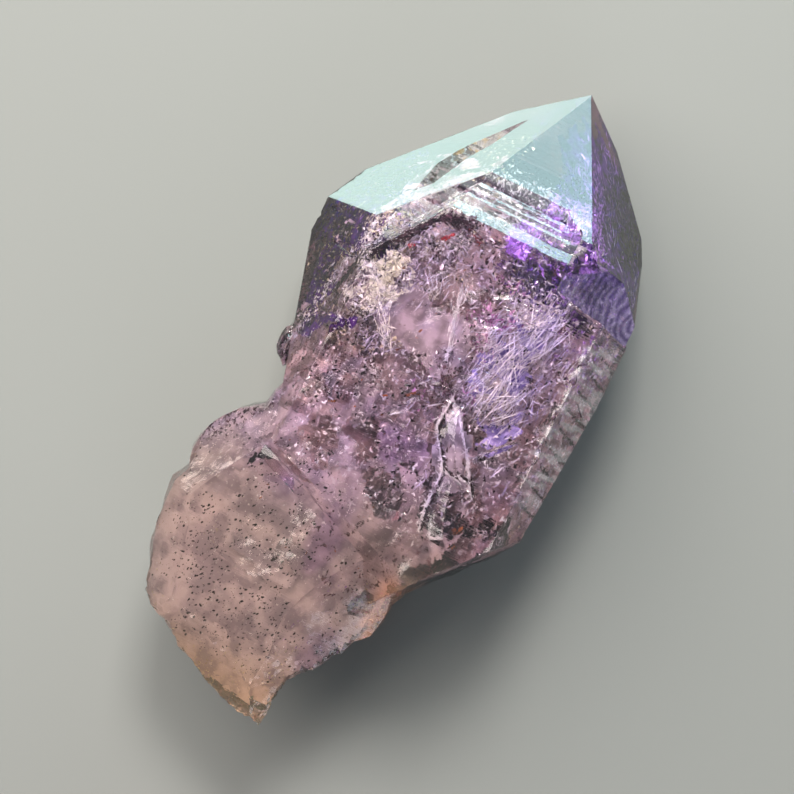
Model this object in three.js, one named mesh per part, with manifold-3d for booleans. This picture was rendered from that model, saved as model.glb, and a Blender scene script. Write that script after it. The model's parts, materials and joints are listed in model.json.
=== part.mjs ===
// A raw amethyst point: one six-sided quartz crystal with natural faces at one end
// and a broken lump at the other. It lies on its back prism face.
// Millimetres. While it is made, the long axis is Y with the point near Y = 0, and Z is
// height over that axis. At the end it is moved so that it rests on Z = 0.
import * as THREE from 'three';
import { ConvexGeometry } from 'three/addons/geometries/ConvexGeometry.js';
import { mergeVertices } from 'three/addons/utils/BufferGeometryUtils.js';
import Module from 'manifold-3d';

// Distances of the six prism faces from the long axis
const PRISM = { front: 12.2, right: 16.2, backRight: 12.4, back: 12, backLeft: 18.7, left: 18 };
// How far each face of the point stands out past the tip of the three upper ones
const POINT = { front: 0, right: 0, backRight: 2.7, back: 0.4, backLeft: 3.4, left: 0 };
// Turn of each prism face about the long axis, in degrees from straight up
const TURN = { front: -2, right: 64, backRight: 120, back: 180, backLeft: 240, left: 300 };
// The right face of the point isn't turned as far as the prism face under it
const POINT_TURN = { ...TURN, right: 61 };
// Angle between the long axis and a line square to a face of the point, as in all quartz
const POINT_ANGLE = 51.8;

// Growth steps: a low terrace under the point, and risers that lead up to the upper prism face.
// For each riser: its foot's height, how far its right arm stands back from the front face of
// the point, which it is parallel to, how far its left arm stands out past the tip, and where
// it ends at the right.
const RISERS = [
  { foot: 10.4, front: 0.95, left: 1.14, end: 4.3 },
  { foot: 10.7, front: 1.2, left: 1.14, end: 3.6 },
  { foot: 10.95, front: 1.42, left: 1.13, end: 4.9 },
  { foot: 11.25, front: 1.94, left: 0.99, end: 5.7 },
];
// The left arms are a little steeper than the left face of the point
const LEFT_ARM_NORMAL = [-0.75, 0.53, 0.39];

// Outline of the broken lump seen from above, from the narrow waist round to the right side
const LUMP_OUTLINE = [
  [-13, -38], [-15.6, -42], [-16.6, -44.6], [-16.9, -46.2], [-18.1, -47.1], [-19.6, -48.3],
  [-20.4, -49.6], [-21.4, -50.9], [-22, -52.6], [-22.2, -54.4], [-21.8, -56.2], [-22.4, -58.2],
  [-22.3, -61], [-22.1, -63.6], [-21.4, -66.4], [-20.6, -69], [-19.7, -71], [-18.6, -72.4],
  [-16.6, -72.9], [-15, -73.8], [-13.2, -75.1], [-11.2, -76.1], [-9.4, -77.2], [-7.2, -77.8],
  [-4.8, -78.5], [-3, -78.3], [-1.7, -78.7], [-1.4, -77.2], [-1.8, -75.7], [-1.2, -73.3],
  [-0.3, -71.6], [0.9, -70.4], [1.7, -68.5], [2.7, -67.4], [3.5, -65.8], [5, -64.4],
  [5.5, -62.3], [5.2, -60.2], [5.9, -58.7], [5.4, -50], [3, -38],
];
// Share of the outline that is left at each height, from the underside to the upper side
const LUMP_CENTRE = { x: -8.5, y: -58 };
const LUMP_LAYERS = [0.76, 0.86, 0.93, 0.97, 0.99, 1, 0.985, 0.955, 0.9];
const LUMP_BOTTOM = -13;
const LUMP_TOP = 11.6;
const LUMP_ROUGHNESS = 0.3;
const ROUGHNESS_SEED = 11;

// Shallow pointed hollows across the prism faces, where growth lagged: how many on each
// face, and the least and most that they measure down the face, across it and into it
const HOLLOWS = { right: 13, backRight: 11, backLeft: 12, left: 8, back: 5, front: 7 };
const HOLLOW_HEIGHT = [0.5, 2.2];
const HOLLOW_WIDTH = [3, 11];
const HOLLOW_DEPTH = [0.08, 0.22];
const HOLLOW_SIDES = [4, 6];
const HOLLOW_PLACE = [-9, 7];
const HOLLOWS_START = -22;
const HOLLOWS_LENGTH = 30;
const HOLLOW_SEED = 5;

// Nicks along the edges: place and size of each
const NICKS = [
  [11.9, -29.6, 12.5, 0.9], [11.8, -33.4, 12.6, 0.6], [12, -39, 12.5, 1], [11.8, -43.2, 12.6, 0.7],
  [-14, -29.4, 11.7, 0.7], [-14, -35.8, 11.7, 1], [-14, -41.6, 11.7, 0.8],
  [15.8, -26.4, 2.4, 0.9], [15.6, -35.2, 4.4, 0.7], [15.2, -43.4, 2.4, 0.8],
  [7.4, -24, -12, 0.9], [7.4, -39.4, -12, 1.1], [-14.7, -28.4, -12, 1], [-14.7, -37.6, -12, 0.8],
  [-21.2, -25.2, -0.7, 0.6], [13.6, -14.6, -1.6, 0.7], [-16.4, -15.4, -2.6, 0.6],
];
const NICK_SEED = 8;

// The shelf broken out of the right edge. It slopes to the right, and its ripples spread in
// rings from the place at the edge where it was struck, each a little higher than the last.
const SHELF = { turn: 43, distance: 12.33, high: 6 };
const SHELF_OUTLINE = [
  [4.6, -21], [7.4, -17.9], [9.4, -17.2], [14.4, -17.5], [18, -18.6], [18, -21.6], [15, -23.6],
  [11.4, -23.2], [7.6, -22.4],
];
const SHELF_STRUCK = [16.4, -20.4];
const RIPPLES = 12;
const RIPPLE_RADIUS = 2.6;
const RIPPLE_RUN = 1.1;
const RIPPLE_RISE = 0.05;
// How much wider a ring gets over the full height of the flake that is gone
const RIPPLE_SPREAD = 2.4;
const KNOB = { x: -17.2, y: -39.2, z: 1.6, wide: 1.7, long: 2.9, high: 2.2, seed: 3 };

// Width of the flats that the curved scars are made of
const SCAR_FACET = 1.7;

// Blocks that are larger than the crystal
const BLOCK = 160;
const UP = new THREE.Vector3(0, 0, 1);
// Points closer than this are one point
const SAME_POINT = 1e-4;

const wasm = await Module();
wasm.setup();

function solidOf(geometry) {
  const bare = geometry.clone();
  bare.deleteAttribute('normal');
  bare.deleteAttribute('uv');
  const merged = mergeVertices(bare, SAME_POINT);
  return new wasm.Manifold(new wasm.Mesh({
    numProp: 3,
    vertProperties: new Float32Array(merged.attributes.position.array),
    triVerts: new Uint32Array(merged.index.array),
  }));
}

function geometryOf(solid) {
  const mesh = solid.getMesh();
  const geometry = new THREE.BufferGeometry();
  geometry.setAttribute('position', new THREE.BufferAttribute(mesh.vertProperties, 3));
  geometry.setIndex(new THREE.BufferAttribute(mesh.triVerts, 1));
  return geometry;
}

function makeRandom(seed) {
  let state = seed;
  return (least, most) => {
    state = (state * 1664525 + 1013904223) % 4294967296;
    return least + (most - least) * state / 4294967296;
  };
}

function prismNormal(turn) {
  const angle = THREE.MathUtils.degToRad(turn);
  return new THREE.Vector3(Math.sin(angle), 0, Math.cos(angle));
}

function pointNormal(turn) {
  const tilt = THREE.MathUtils.degToRad(POINT_ANGLE);
  const normal = prismNormal(turn).multiplyScalar(Math.sin(tilt));
  normal.y = Math.cos(tilt);
  return normal;
}

// Everything on the far side of a flat face, as one big block
function beyond(normal, distance) {
  const block = new THREE.BoxGeometry(BLOCK, BLOCK, BLOCK);
  block.translate(0, 0, BLOCK / 2 + distance);
  block.applyQuaternion(new THREE.Quaternion().setFromUnitVectors(UP, normal));
  return solidOf(block);
}

function beyondThrough(direction, point) {
  const normal = new THREE.Vector3(...direction).normalize();
  return beyond(normal, normal.dot(new THREE.Vector3(...point)));
}

// A chip broken out of a flat face: its outline seen from above, and the deepest places
function chip(normal, distance, outline, deepest, lip = 1.5) {
  const onFace = (x, y, depth) => {
    const height = (distance - normal.x * x - normal.y * y) / normal.z;
    return new THREE.Vector3(x, y, height).addScaledVector(normal, -depth);
  };
  const corners = [
    ...outline.flatMap(([x, y]) => [onFace(x, y, 0), onFace(x, y, -lip)]),
    ...deepest.map(([x, y, depth]) => onFace(x, y, depth)),
  ];
  return solidOf(new ConvexGeometry(corners));
}

// A curved scar, as quartz leaves where a flake was struck off
function scar(radius, centre) {
  const detail = Math.round(radius / SCAR_FACET);
  return solidOf(new THREE.IcosahedronGeometry(radius, detail).translate(...centre));
}

function prismWithPoint() {
  let body = solidOf(new THREE.BoxGeometry(BLOCK, BLOCK, BLOCK));
  for (const face of Object.keys(PRISM)) {
    body = body.subtract(beyond(prismNormal(TURN[face]), PRISM[face]));
    body = body.subtract(beyond(pointNormal(POINT_TURN[face]), POINT[face]));
  }
  return body;
}

// Faces that aren't crystal faces: the narrowing left side, the worn right edge, the breaks at
// the lower right and the lower left, and a small slope on the right shoulder
function brokenFaces(body) {
  return body
    .subtract(beyondThrough([1, 0, 0], [15.75, 0, 0]))
    .subtract(beyondThrough([-0.96, -0.281, 0.02], [-16.6, -43.2, -6]))
    .subtract(beyondThrough([0.998, -0.065, 0], [15.6, -33, 2]))
    .subtract(beyondThrough([0.75, -0.65, 0.1], [9.4, -55, -2]))
    .subtract(beyondThrough([-0.3, -0.75, 0.59], [-9, -51.6, 11.9]))
    .subtract(beyondThrough([0.82, 0.45, 0.35], [13.2, -12, -3.4]));
}

// The space over one terrace level, in front of the riser that ends it
function overTerrace(height, rightEnd, riserNormal, riserBack) {
  return solidOf(new THREE.BoxGeometry(60, 60, 20).translate(rightEnd - 30, 0, 14))
    .subtract(beyond(prismNormal(TURN.front).negate(), -height))
    .subtract(beyond(riserNormal.clone().negate(), riserBack))
    .subtract(beyondThrough([0.85, 0.35, -0.4], [rightEnd, -16, height]));
}

function growthSteps(body) {
  const leftArm = new THREE.Vector3(...LEFT_ARM_NORMAL).normalize();
  let stepped = body;
  for (const { foot, front, left, end } of RISERS) {
    stepped = stepped
      .subtract(overTerrace(foot, end, pointNormal(TURN.front), front))
      .subtract(overTerrace(foot, end, leftArm, -left));
  }
  return stepped;
}

function faceHollows(body) {
  const random = makeRandom(HOLLOW_SEED);
  let hollowed = body;
  for (const [face, count] of Object.entries(HOLLOWS)) {
    for (let i = 0; i < count; i += 1) {
      const middle = HOLLOWS_START - HOLLOWS_LENGTH * (i + random(0.2, 0.8)) / count;
      const sides = Math.round(random(...HOLLOW_SIDES));
      const hollow = new THREE.CylinderGeometry(1, 1, 2, sides)
        .scale(random(...HOLLOW_WIDTH) / 2, 1, random(...HOLLOW_HEIGHT) / 2)
        .rotateX(Math.PI / 2)
        .rotateZ(THREE.MathUtils.degToRad(random(-4, 4)))
        .translate(random(...HOLLOW_PLACE), middle, PRISM[face] - random(...HOLLOW_DEPTH) + 1)
        .rotateY(THREE.MathUtils.degToRad(TURN[face]));
      hollowed = hollowed.subtract(solidOf(hollow));
    }
  }
  return hollowed;
}

function edgeNicks(body) {
  const random = makeRandom(NICK_SEED);
  let nicked = body;
  for (const [x, y, z, size] of NICKS) {
    const nick = new THREE.OctahedronGeometry(size)
      .scale(0.7, random(1.2, 2.2), 0.7)
      .rotateX(random(-0.5, 0.5))
      .rotateZ(random(-0.5, 0.5))
      .rotateY(random(0, 3))
      .translate(x, y, z);
    nicked = nicked.subtract(solidOf(nick));
  }
  return nicked;
}

// The open leaf-shaped pit in the left face of the point, made of joined hollows
function leafPit(body) {
  const face = pointNormal(TURN.left);
  const broad = chip(
    face, POINT.left,
    [[-12.8, -18.3], [-11.9, -14.4], [-10.7, -12.3], [-9.2, -10.6], [-9.2, -12.4], [-11.2, -16.8]],
    [[-11.2, -15.2, 1.1], [-10, -12.8, 1.3]],
  );
  const narrow = chip(
    face, POINT.left,
    [[-10.8, -12.4], [-9.6, -10.7], [-7.3, -8], [-5, -5.2], [-6.2, -7.3], [-7.6, -10.1], [-9.2, -12.5]],
    [[-9.2, -11.2, 1.2], [-7.2, -8.4, 0.7]],
  );
  const bottom = chip(
    face, POINT.left,
    [[-11.4, -15.6], [-10.4, -13.2], [-8.6, -10.4], [-7.9, -9.5], [-8.4, -11.1], [-9.9, -13.7]],
    [[-10.6, -14.2, 1.7], [-9, -11.3, 2]],
  );
  return body.subtract(broad).subtract(narrow).subtract(bottom);
}

// The rippled shelf in the edge between the upper and the right prism face
function shelf(body) {
  const slope = prismNormal(SHELF.turn);
  const [x, y] = SHELF_STRUCK;
  const struck = new THREE.Vector3(x, y, (SHELF.distance - slope.x * x) / slope.z);
  let broken = body;
  for (let ripple = 0; ripple < RIPPLES; ripple += 1) {
    const radius = RIPPLE_RADIUS + RIPPLE_RUN * ripple;
    const ring = new THREE.CylinderGeometry(radius * RIPPLE_SPREAD, radius, SHELF.high, 36)
      .translate(0, SHELF.high / 2 + RIPPLE_RISE * ripple, 0)
      .rotateX(Math.PI / 2)
      .applyQuaternion(new THREE.Quaternion().setFromUnitVectors(UP, slope))
      .translate(struck.x, struck.y, struck.z);
    const flake = chip(slope, SHELF.distance + RIPPLE_RISE * ripple, SHELF_OUTLINE, [], SHELF.high);
    broken = broken.subtract(flake.intersect(solidOf(ring)));
  }
  return broken;
}

// A low rib standing on a flat face: its foot seen from above, and its crest
function rib(normal, distance, foot, crest) {
  const onFace = ([x, y, height]) => {
    const level = (distance - normal.x * x - normal.y * y) / normal.z;
    return new THREE.Vector3(x, y, level).addScaledVector(normal, height);
  };
  const corners = [...foot.map(([x, y]) => onFace([x, y, -0.6])), ...crest.map(onFace)];
  return solidOf(new ConvexGeometry(corners));
}

function forkedRib() {
  const normal = prismNormal(TURN.front);
  const upper = rib(
    normal, PRISM.front,
    [[2, -36], [1.2, -38], [0.8, -40.7], [2.6, -43.2], [3.8, -44.8], [6.8, -45.6], [5.7, -41.6]],
    [[2.4, -38.6, 0.55], [3.2, -41, 0.75], [5, -44, 0.8]],
  );
  const lower = rib(
    normal, PRISM.front,
    [[3.6, -44.4], [3.8, -48.2], [4.2, -52.4], [8.6, -52.8], [9, -48.3], [6.8, -45]],
    [[5, -45.2, 0.8], [5.6, -48, 0.75], [6.8, -51, 0.6]],
  );
  const branch = rib(
    normal, PRISM.front,
    [[4.8, -42.6], [7, -39.4], [10.6, -36.6], [10.8, -37.4], [7.6, -41], [5.8, -43.8]],
    [[6.6, -41, 0.55], [8.6, -38.8, 0.4]],
  );
  return upper.add(lower).add(branch);
}

// A small lump on the left side, where the prism narrows
function sideKnob() {
  const knob = new THREE.IcosahedronGeometry(1, 2);
  knob.deleteAttribute('normal');
  knob.deleteAttribute('uv');
  const merged = mergeVertices(knob, SAME_POINT);
  const random = makeRandom(KNOB.seed);
  const place = merged.attributes.position;
  for (let i = 0; i < place.count; i += 1) {
    const swell = random(0.82, 1.1);
    place.setXYZ(
      i,
      KNOB.x + place.getX(i) * KNOB.wide * swell,
      KNOB.y + place.getY(i) * KNOB.long * swell,
      KNOB.z + place.getZ(i) * KNOB.high * swell,
    );
  }
  return solidOf(merged);
}

// The lump: its outline drawn out upwards, drawn in towards both sides and roughened
function lumpBlank() {
  const steps = LUMP_LAYERS.length - 1;
  const outline = new THREE.Shape(LUMP_OUTLINE.map(([x, y]) => new THREE.Vector2(x, y)));
  const depth = LUMP_TOP - LUMP_BOTTOM;
  const blank = new THREE.ExtrudeGeometry(outline, { depth, steps, bevelEnabled: false });
  blank.deleteAttribute('normal');
  blank.deleteAttribute('uv');
  const merged = mergeVertices(blank, SAME_POINT);
  const place = merged.attributes.position;
  const random = makeRandom(ROUGHNESS_SEED);
  for (let i = 0; i < place.count; i += 1) {
    const share = LUMP_LAYERS[Math.round(place.getZ(i) / depth * steps)];
    place.setXYZ(
      i,
      LUMP_CENTRE.x + (place.getX(i) - LUMP_CENTRE.x) * share + random(-LUMP_ROUGHNESS, LUMP_ROUGHNESS),
      LUMP_CENTRE.y + (place.getY(i) - LUMP_CENTRE.y) * share + random(-LUMP_ROUGHNESS, LUMP_ROUGHNESS),
      LUMP_BOTTOM + place.getZ(i) + random(-LUMP_ROUGHNESS, LUMP_ROUGHNESS),
    );
  }
  return solidOf(merged);
}

function lump() {
  const ledge = rib(
    new THREE.Vector3(0.04, -0.1, 0.99).normalize(), 15.55,
    [[-15, -50.4], [-6.2, -53.2], [-2.8, -55], [-3.2, -56.4], [-7.4, -54.9], [-14.8, -51.8]],
    [[-12.6, -51.2, 0.1], [-6.6, -53.8, 0.3], [-4.2, -55.2, 0.2]],
  );
  return lumpBlank()
    .subtract(beyondThrough([0.04, -0.1, 0.99], [-11, -52, 10.9]))
    .subtract(beyondThrough([-0.06, -0.3, 0.95], [-11, -66, 8.9]))
    .subtract(beyondThrough([-0.2, -0.62, 0.76], [-9, -75, 5.2]))
    .subtract(beyondThrough([-0.62, 0.3, 0.72], [-19.6, -50.6, 6.6]))
    .subtract(beyondThrough([-0.66, -0.34, 0.67], [-20.2, -68.5, 4.6]))
    .subtract(beyondThrough([0.55, -0.3, 0.78], [1.6, -64, 6.2]))
    .subtract(scar(60, [-12.6, -61, 69.5]))
    .subtract(scar(34, [17.8, -74, 33.4]))
    .add(ledge);
}

// The underside of the broken end, all flat and curved scars
function undersideScars(body) {
  return body
    .subtract(beyondThrough([-0.5, -0.1, -0.86], [-19, -58, -8]))
    .subtract(beyondThrough([0.1, -0.62, -0.78], [-9, -72, -3.6]))
    .subtract(scar(26, [-42, -67, -15]))
    .subtract(scar(21, [18, -74, -11]))
    .subtract(scar(24, [-10, -89, -20]))
    .subtract(scar(17, [-36.4, -51, -9]))
    .subtract(scar(30, [-12, -74, -34.6]));
}

function crystalSolid() {
  let prism = growthSteps(brokenFaces(prismWithPoint()));
  prism = faceHollows(prism);
  prism = shelf(leafPit(prism));
  prism = edgeNicks(prism);
  return undersideScars(prism.add(forkedRib()).add(sideKnob()).add(lump()))
    .subtract(beyond(prismNormal(TURN.back), PRISM.back));
}

const crystal = new THREE.Mesh(
  geometryOf(crystalSolid()),
  new THREE.MeshStandardMaterial({ color: 0x9a7fa6, roughness: 0.15, metalness: 0 }),
);
crystal.name = 'crystal';

const amethystPoint = new THREE.Group();
amethystPoint.add(crystal);
const box = new THREE.Box3().setFromObject(crystal);
const middle = box.getCenter(new THREE.Vector3());
amethystPoint.position.set(-middle.x, -middle.y, -box.min.z);

export default amethystPoint;
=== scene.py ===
# %% [markdown]
# # A raw amethyst point
# Amethyst is quartz coloured violet by traces of iron. This one grew as a single six-sided
# crystal. One end is a natural point with mirror-like faces, and the other end is a broken
# lump. Inside it is full of healed cracks, which collectors call veils. It lies on a pale
# floor, and the camera looks down on it.
#
# The solid from the CAD step is the fixed frame. Everything here is placed from it.

# %% Load the frame into an empty scene
import json
import math
import random

import bpy
import numpy as np
from mathutils import Matrix, Vector, noise
from mathutils.bvhtree import BVHTree

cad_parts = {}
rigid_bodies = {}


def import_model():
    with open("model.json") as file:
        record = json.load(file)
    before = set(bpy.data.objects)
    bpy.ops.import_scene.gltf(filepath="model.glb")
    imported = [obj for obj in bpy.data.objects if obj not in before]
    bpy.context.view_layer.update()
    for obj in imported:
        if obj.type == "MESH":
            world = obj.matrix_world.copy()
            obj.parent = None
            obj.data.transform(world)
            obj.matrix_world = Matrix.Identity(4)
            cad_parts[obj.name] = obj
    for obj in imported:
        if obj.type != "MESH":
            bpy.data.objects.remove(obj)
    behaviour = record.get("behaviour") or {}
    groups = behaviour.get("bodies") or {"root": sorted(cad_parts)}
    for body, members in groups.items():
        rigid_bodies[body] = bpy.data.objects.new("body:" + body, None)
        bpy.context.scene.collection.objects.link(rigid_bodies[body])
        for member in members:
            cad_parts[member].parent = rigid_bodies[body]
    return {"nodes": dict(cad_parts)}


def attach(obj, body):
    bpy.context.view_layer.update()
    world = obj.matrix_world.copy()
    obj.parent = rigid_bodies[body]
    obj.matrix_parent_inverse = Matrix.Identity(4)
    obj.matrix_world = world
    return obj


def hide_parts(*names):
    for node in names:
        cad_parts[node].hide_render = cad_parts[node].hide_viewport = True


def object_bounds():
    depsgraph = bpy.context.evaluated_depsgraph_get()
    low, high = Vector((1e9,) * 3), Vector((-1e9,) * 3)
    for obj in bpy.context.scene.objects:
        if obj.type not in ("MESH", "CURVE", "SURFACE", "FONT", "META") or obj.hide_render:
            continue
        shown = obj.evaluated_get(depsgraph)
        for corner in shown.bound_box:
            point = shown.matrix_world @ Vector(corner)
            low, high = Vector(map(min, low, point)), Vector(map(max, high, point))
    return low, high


bpy.ops.object.select_all(action="SELECT")
bpy.ops.object.delete()

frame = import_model()
cad_low, cad_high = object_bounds()

MM = 0.001
print("the crystal measures", [round(side / MM, 1) for side in cad_high - cad_low], "mm")

# %% [markdown]
# ## Places on the crystal
# All the faces of a quartz crystal are set by its point and its long axis. The axis runs
# 12 mm over the floor and 15.75 mm inside the right side, so both are found from the frame.
# Every place below is in millimetres from the point: x to the right, y along the axis, z up.

# %% Measure from the point
AXIS_OVER_FLOOR = 12.0
AXIS_INSIDE_RIGHT = 15.75
POINT_UNDER_TOP = 0.21

point = Vector((
    cad_high.x - AXIS_INSIDE_RIGHT * MM,
    cad_high.y - POINT_UNDER_TOP * MM,
    cad_low.z + AXIS_OVER_FLOOR * MM,
))


def place(x, y, z):
    return point + Vector((x, y, z)) * MM


print("the point is at", [round(c / MM, 2) for c in point], "mm")

# %% [markdown]
# ## Colours
# Colours are picked as sRGB hex values, as on a screen, and the shaders want linear light.

# %% Turn a hex colour into linear light


def colour(code):
    values = [int(code[i:i + 2], 16) / 255 for i in (1, 3, 5)]
    linear = [v / 12.92 if v <= 0.04045 else ((v + 0.055) / 1.055) ** 2.4 for v in values]
    return (*linear, 1)


# %% [markdown]
# ## The skin
# The faces of the frame's solid are right, but they are a few large triangles, which can't
# carry fine relief. A remesh would round every edge. Cutting a merged copy with many
# parallel planes keeps each flat face flat and each edge sharp, and leaves a net of small
# faces that can be pushed in and out. The copy drops the shading directions it came with, so
# that its sharp edges can be found anew.

# %% Copy the solid and merge its loose triangles
SAME_POINT = 0.001
FLAT_ANGLE = math.radians(0.4)


def pick_only(piece):
    bpy.ops.object.select_all(action="DESELECT")
    piece.select_set(True)
    bpy.context.view_layer.objects.active = piece


def copy_of(node, name):
    piece = bpy.data.objects.new(name, node.data.copy())
    bpy.context.scene.collection.objects.link(piece)
    pick_only(piece)
    bpy.ops.mesh.customdata_custom_splitnormals_clear()
    bpy.ops.object.mode_set(mode="EDIT")
    bpy.ops.mesh.select_all(action="SELECT")
    bpy.ops.mesh.remove_doubles(threshold=SAME_POINT * MM)
    bpy.ops.mesh.dissolve_limited(angle_limit=FLAT_ANGLE)
    bpy.ops.object.mode_set(mode="OBJECT")
    return piece


skin = copy_of(frame["nodes"]["crystal"], "crystal_skin")
print("faces of the merged copy:", len(skin.data.polygons))

# %% [markdown]
# Crystal edges look sharp, but each one is worn to a hair's width, and that narrow strip
# catches the light as a bright line. It could be painted, but a real bevel catches the light
# from any side. Only the long edges of the prism are worn here. Those of the point are still
# crisp, the walls of the finest nicks are narrower than the strip, and the broken end has fresh
# sharp edges.

# %% Wear the long edges
WORN_WIDTH = 0.05
WORN_EDGE_LENGTH = 3.0
WORN_START = -12.0
WORN_END = -45.0
WORN_EDGE_ANGLE = math.radians(22)


def wear_long_edges(piece):
    mesh = piece.data
    faces_of = {}
    for face in mesh.polygons:
        for key in face.edge_keys:
            faces_of.setdefault(key, []).append(face.normal.copy())
    pick_only(piece)
    bpy.ops.object.mode_set(mode="EDIT")
    bpy.ops.mesh.select_mode(type="EDGE")
    bpy.ops.mesh.select_all(action="DESELECT")
    bpy.ops.object.mode_set(mode="OBJECT")
    chosen = 0
    prism_start, prism_end = place(0, WORN_START, 0).y, place(0, WORN_END, 0).y
    for edge in mesh.edges:
        one, other = (mesh.vertices[i].co for i in edge.vertices)
        normals = faces_of.get(edge.key, [])
        on_prism = min(one.y, other.y) > prism_end and max(one.y, other.y) < prism_start
        long_enough = (one - other).length > WORN_EDGE_LENGTH * MM
        if not (on_prism and long_enough and len(normals) == 2):
            continue
        if normals[0].angle(normals[1]) > WORN_EDGE_ANGLE:
            edge.select = True
            chosen += 1
    bpy.ops.object.mode_set(mode="EDIT")
    bpy.ops.mesh.bevel(offset=WORN_WIDTH * MM, segments=2, clamp_overlap=False)
    bpy.ops.object.mode_set(mode="OBJECT")
    return chosen


print("worn edges:", wear_long_edges(skin))

# %% [markdown]
# The net is cut by planes square to each axis, 0.45 mm apart. That is fine enough for the
# etched relief, and it stays near a hundred thousand triangles. Subdividing would waste
# points on small faces and starve the large ones.

# %% Cut the net
NET = 0.45


def cut_net(piece, step):
    pick_only(piece)
    bpy.ops.object.mode_set(mode="EDIT")
    for axis in range(3):
        length = cad_high[axis] - cad_low[axis]
        count = int(length / (step * MM))
        normal = [0, 0, 0]
        normal[axis] = 1
        for cut in range(1, count):
            where = [0, 0, 0]
            where[axis] = cad_low[axis] + length * cut / count
            bpy.ops.mesh.select_all(action="SELECT")
            bpy.ops.mesh.bisect(plane_co=where, plane_no=normal)
    bpy.ops.mesh.select_all(action="SELECT")
    bpy.ops.mesh.quads_convert_to_tris()
    bpy.ops.object.mode_set(mode="OBJECT")


cut_net(skin, NET)
print("triangles in the net:", len(skin.data.polygons))

# %% [markdown]
# ## Relief
# The faces of the point grew smooth. The prism faces are crossed by fine growth lines that
# run square to the long axis, the upper one is etched as well, and the broken lump is rough
# all over. The points of the net are sorted into groups by where they are and which way they
# face, so that each kind of face can get its own relief.

# %% Sort the points of the net
POINT_END = -12.4
UPPER_START = -16.5
LUMP_START = -52.0
LUMP_SLANT = 0.28
LUMP_MIDDLE = -10
TIP_START = -70
STEP_HEIGHT = 10.5
JUST_OVER_FLOOR = -11.9
FLAT_ENOUGH = 0.985
ALONG_THE_PRISM = 0.12
ON_A_RISER = 0.3

places = np.empty(len(skin.data.vertices) * 3)
skin.data.vertices.foreach_get("co", places)
places = (places.reshape(-1, 3) - np.array(point)) / MM
facing = np.array([vertex.normal[:] for vertex in skin.data.vertices])


def point_group(name, chosen):
    group = skin.vertex_groups.new(name=name)
    group.add([int(i) for i in np.flatnonzero(chosen)], 1, "REPLACE")
    print(name, int(chosen.sum()), "points")


off_floor = places[:, 2] > JUST_OVER_FLOOR
lump_side = places[:, 1] < LUMP_START + LUMP_SLANT * (places[:, 0] - LUMP_MIDDLE)
upper = (facing[:, 2] > FLAT_ENOUGH) & (places[:, 1] < UPPER_START) & ~lump_side
prism_side = np.abs(facing[:, 1]) < ALONG_THE_PRISM
prism_side = prism_side & (places[:, 1] < POINT_END) & ~lump_side & ~upper & off_floor
rough = lump_side & off_floor
risers = (places[:, 2] > STEP_HEIGHT) & (facing[:, 1] > ON_A_RISER) & (places[:, 1] < POINT_END)
tip = places[:, 1] < TIP_START
point_group("upper", upper)
point_group("prism_side", prism_side)
point_group("rough", rough)
point_group("risers", risers)
point_group("tip", tip)

# %% [markdown]
# The Displace modifier moves each group along its normals by a pattern that is measured by an
# empty: its scale is the size of one bump, which may differ along and across the crystal. Cells
# make etched facets, and clouds make swells and growth lines. No depth is over half a
# millimetre, so the crystal keeps its size. Edges that turn more than 24 degrees stay sharp.

# %% Push the net in and out
SHARPEST_SMOOTH = math.radians(24)


def relief(piece, group, basis, size, depth, turn=(0, 0, 0), layers=1):
    texture = bpy.data.textures.new("relief", "CLOUDS")
    texture.noise_scale = 1
    texture.noise_basis = basis
    texture.noise_depth = layers
    gauge = bpy.data.objects.new("gauge", None)
    gauge.scale = [side * MM for side in size]
    gauge.rotation_euler = turn
    bpy.context.scene.collection.objects.link(gauge)
    bpy.context.view_layer.update()
    modifier = piece.modifiers.new("relief", "DISPLACE")
    modifier.texture = texture
    modifier.texture_coords = "OBJECT"
    modifier.texture_coords_object = gauge
    modifier.strength = depth * MM
    modifier.mid_level = 0.5
    modifier.vertex_group = group
    pick_only(piece)
    bpy.ops.object.modifier_apply(modifier=modifier.name)
    bpy.data.objects.remove(gauge)


relief(skin, "upper", "VORONOI_F2_F1", (2.2, 3.4, 2.2), 0.07, layers=2)
relief(skin, "upper", "BLENDER_ORIGINAL", (6, 6, 6), 0.3)
relief(skin, "prism_side", "BLENDER_ORIGINAL", (16, 0.9, 16), 0.14)
relief(skin, "rough", "BLENDER_ORIGINAL", (5, 4, 4), 0.5)
relief(skin, "rough", "VORONOI_F2_F1", (1.6, 1.2, 1.3), 0.2, layers=2)
relief(skin, "risers", "VORONOI_F2_F1", (2.6, 0.7, 0.7), 0.25)
relief(skin, "tip", "VORONOI_F2_F1", (1.1, 1.1, 0.9), 0.5, layers=2)

pick_only(skin)
bpy.ops.object.shade_smooth_by_angle(angle=SHARPEST_SMOOTH, keep_sharp_edges=False)
print("relief done:", len(skin.data.vertices), "points")

# %% [markdown]
# ## Nodes
# Every material below is built from shader nodes by one small function. An input gets either
# a plain value or the output of another node. The patterns read Object coordinates turned
# into millimetres from the point, so their scales are real sizes.

# %% Add one node, and read places in millimetres


def add_node(tree, kind, inputs=None, **settings):
    node = tree.nodes.new("ShaderNode" + kind)
    for name, value in settings.items():
        setattr(node, name, value)
    for name, value in (inputs or {}).items():
        if isinstance(value, bpy.types.NodeSocket):
            tree.links.new(value, node.inputs[name])
        else:
            node.inputs[name].default_value = value
    return node


def new_material(name):
    material = bpy.data.materials.new(name)
    material.use_nodes = True
    material.node_tree.nodes.clear()
    return material, material.node_tree


def millimetres(tree):
    source = add_node(tree, "TexCoord").outputs["Object"]
    scale = (1 / MM,) * 3
    shift = [-c / MM for c in point]
    return add_node(tree, "Mapping", {"Vector": source, "Location": shift, "Scale": scale}).outputs[0]


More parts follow.
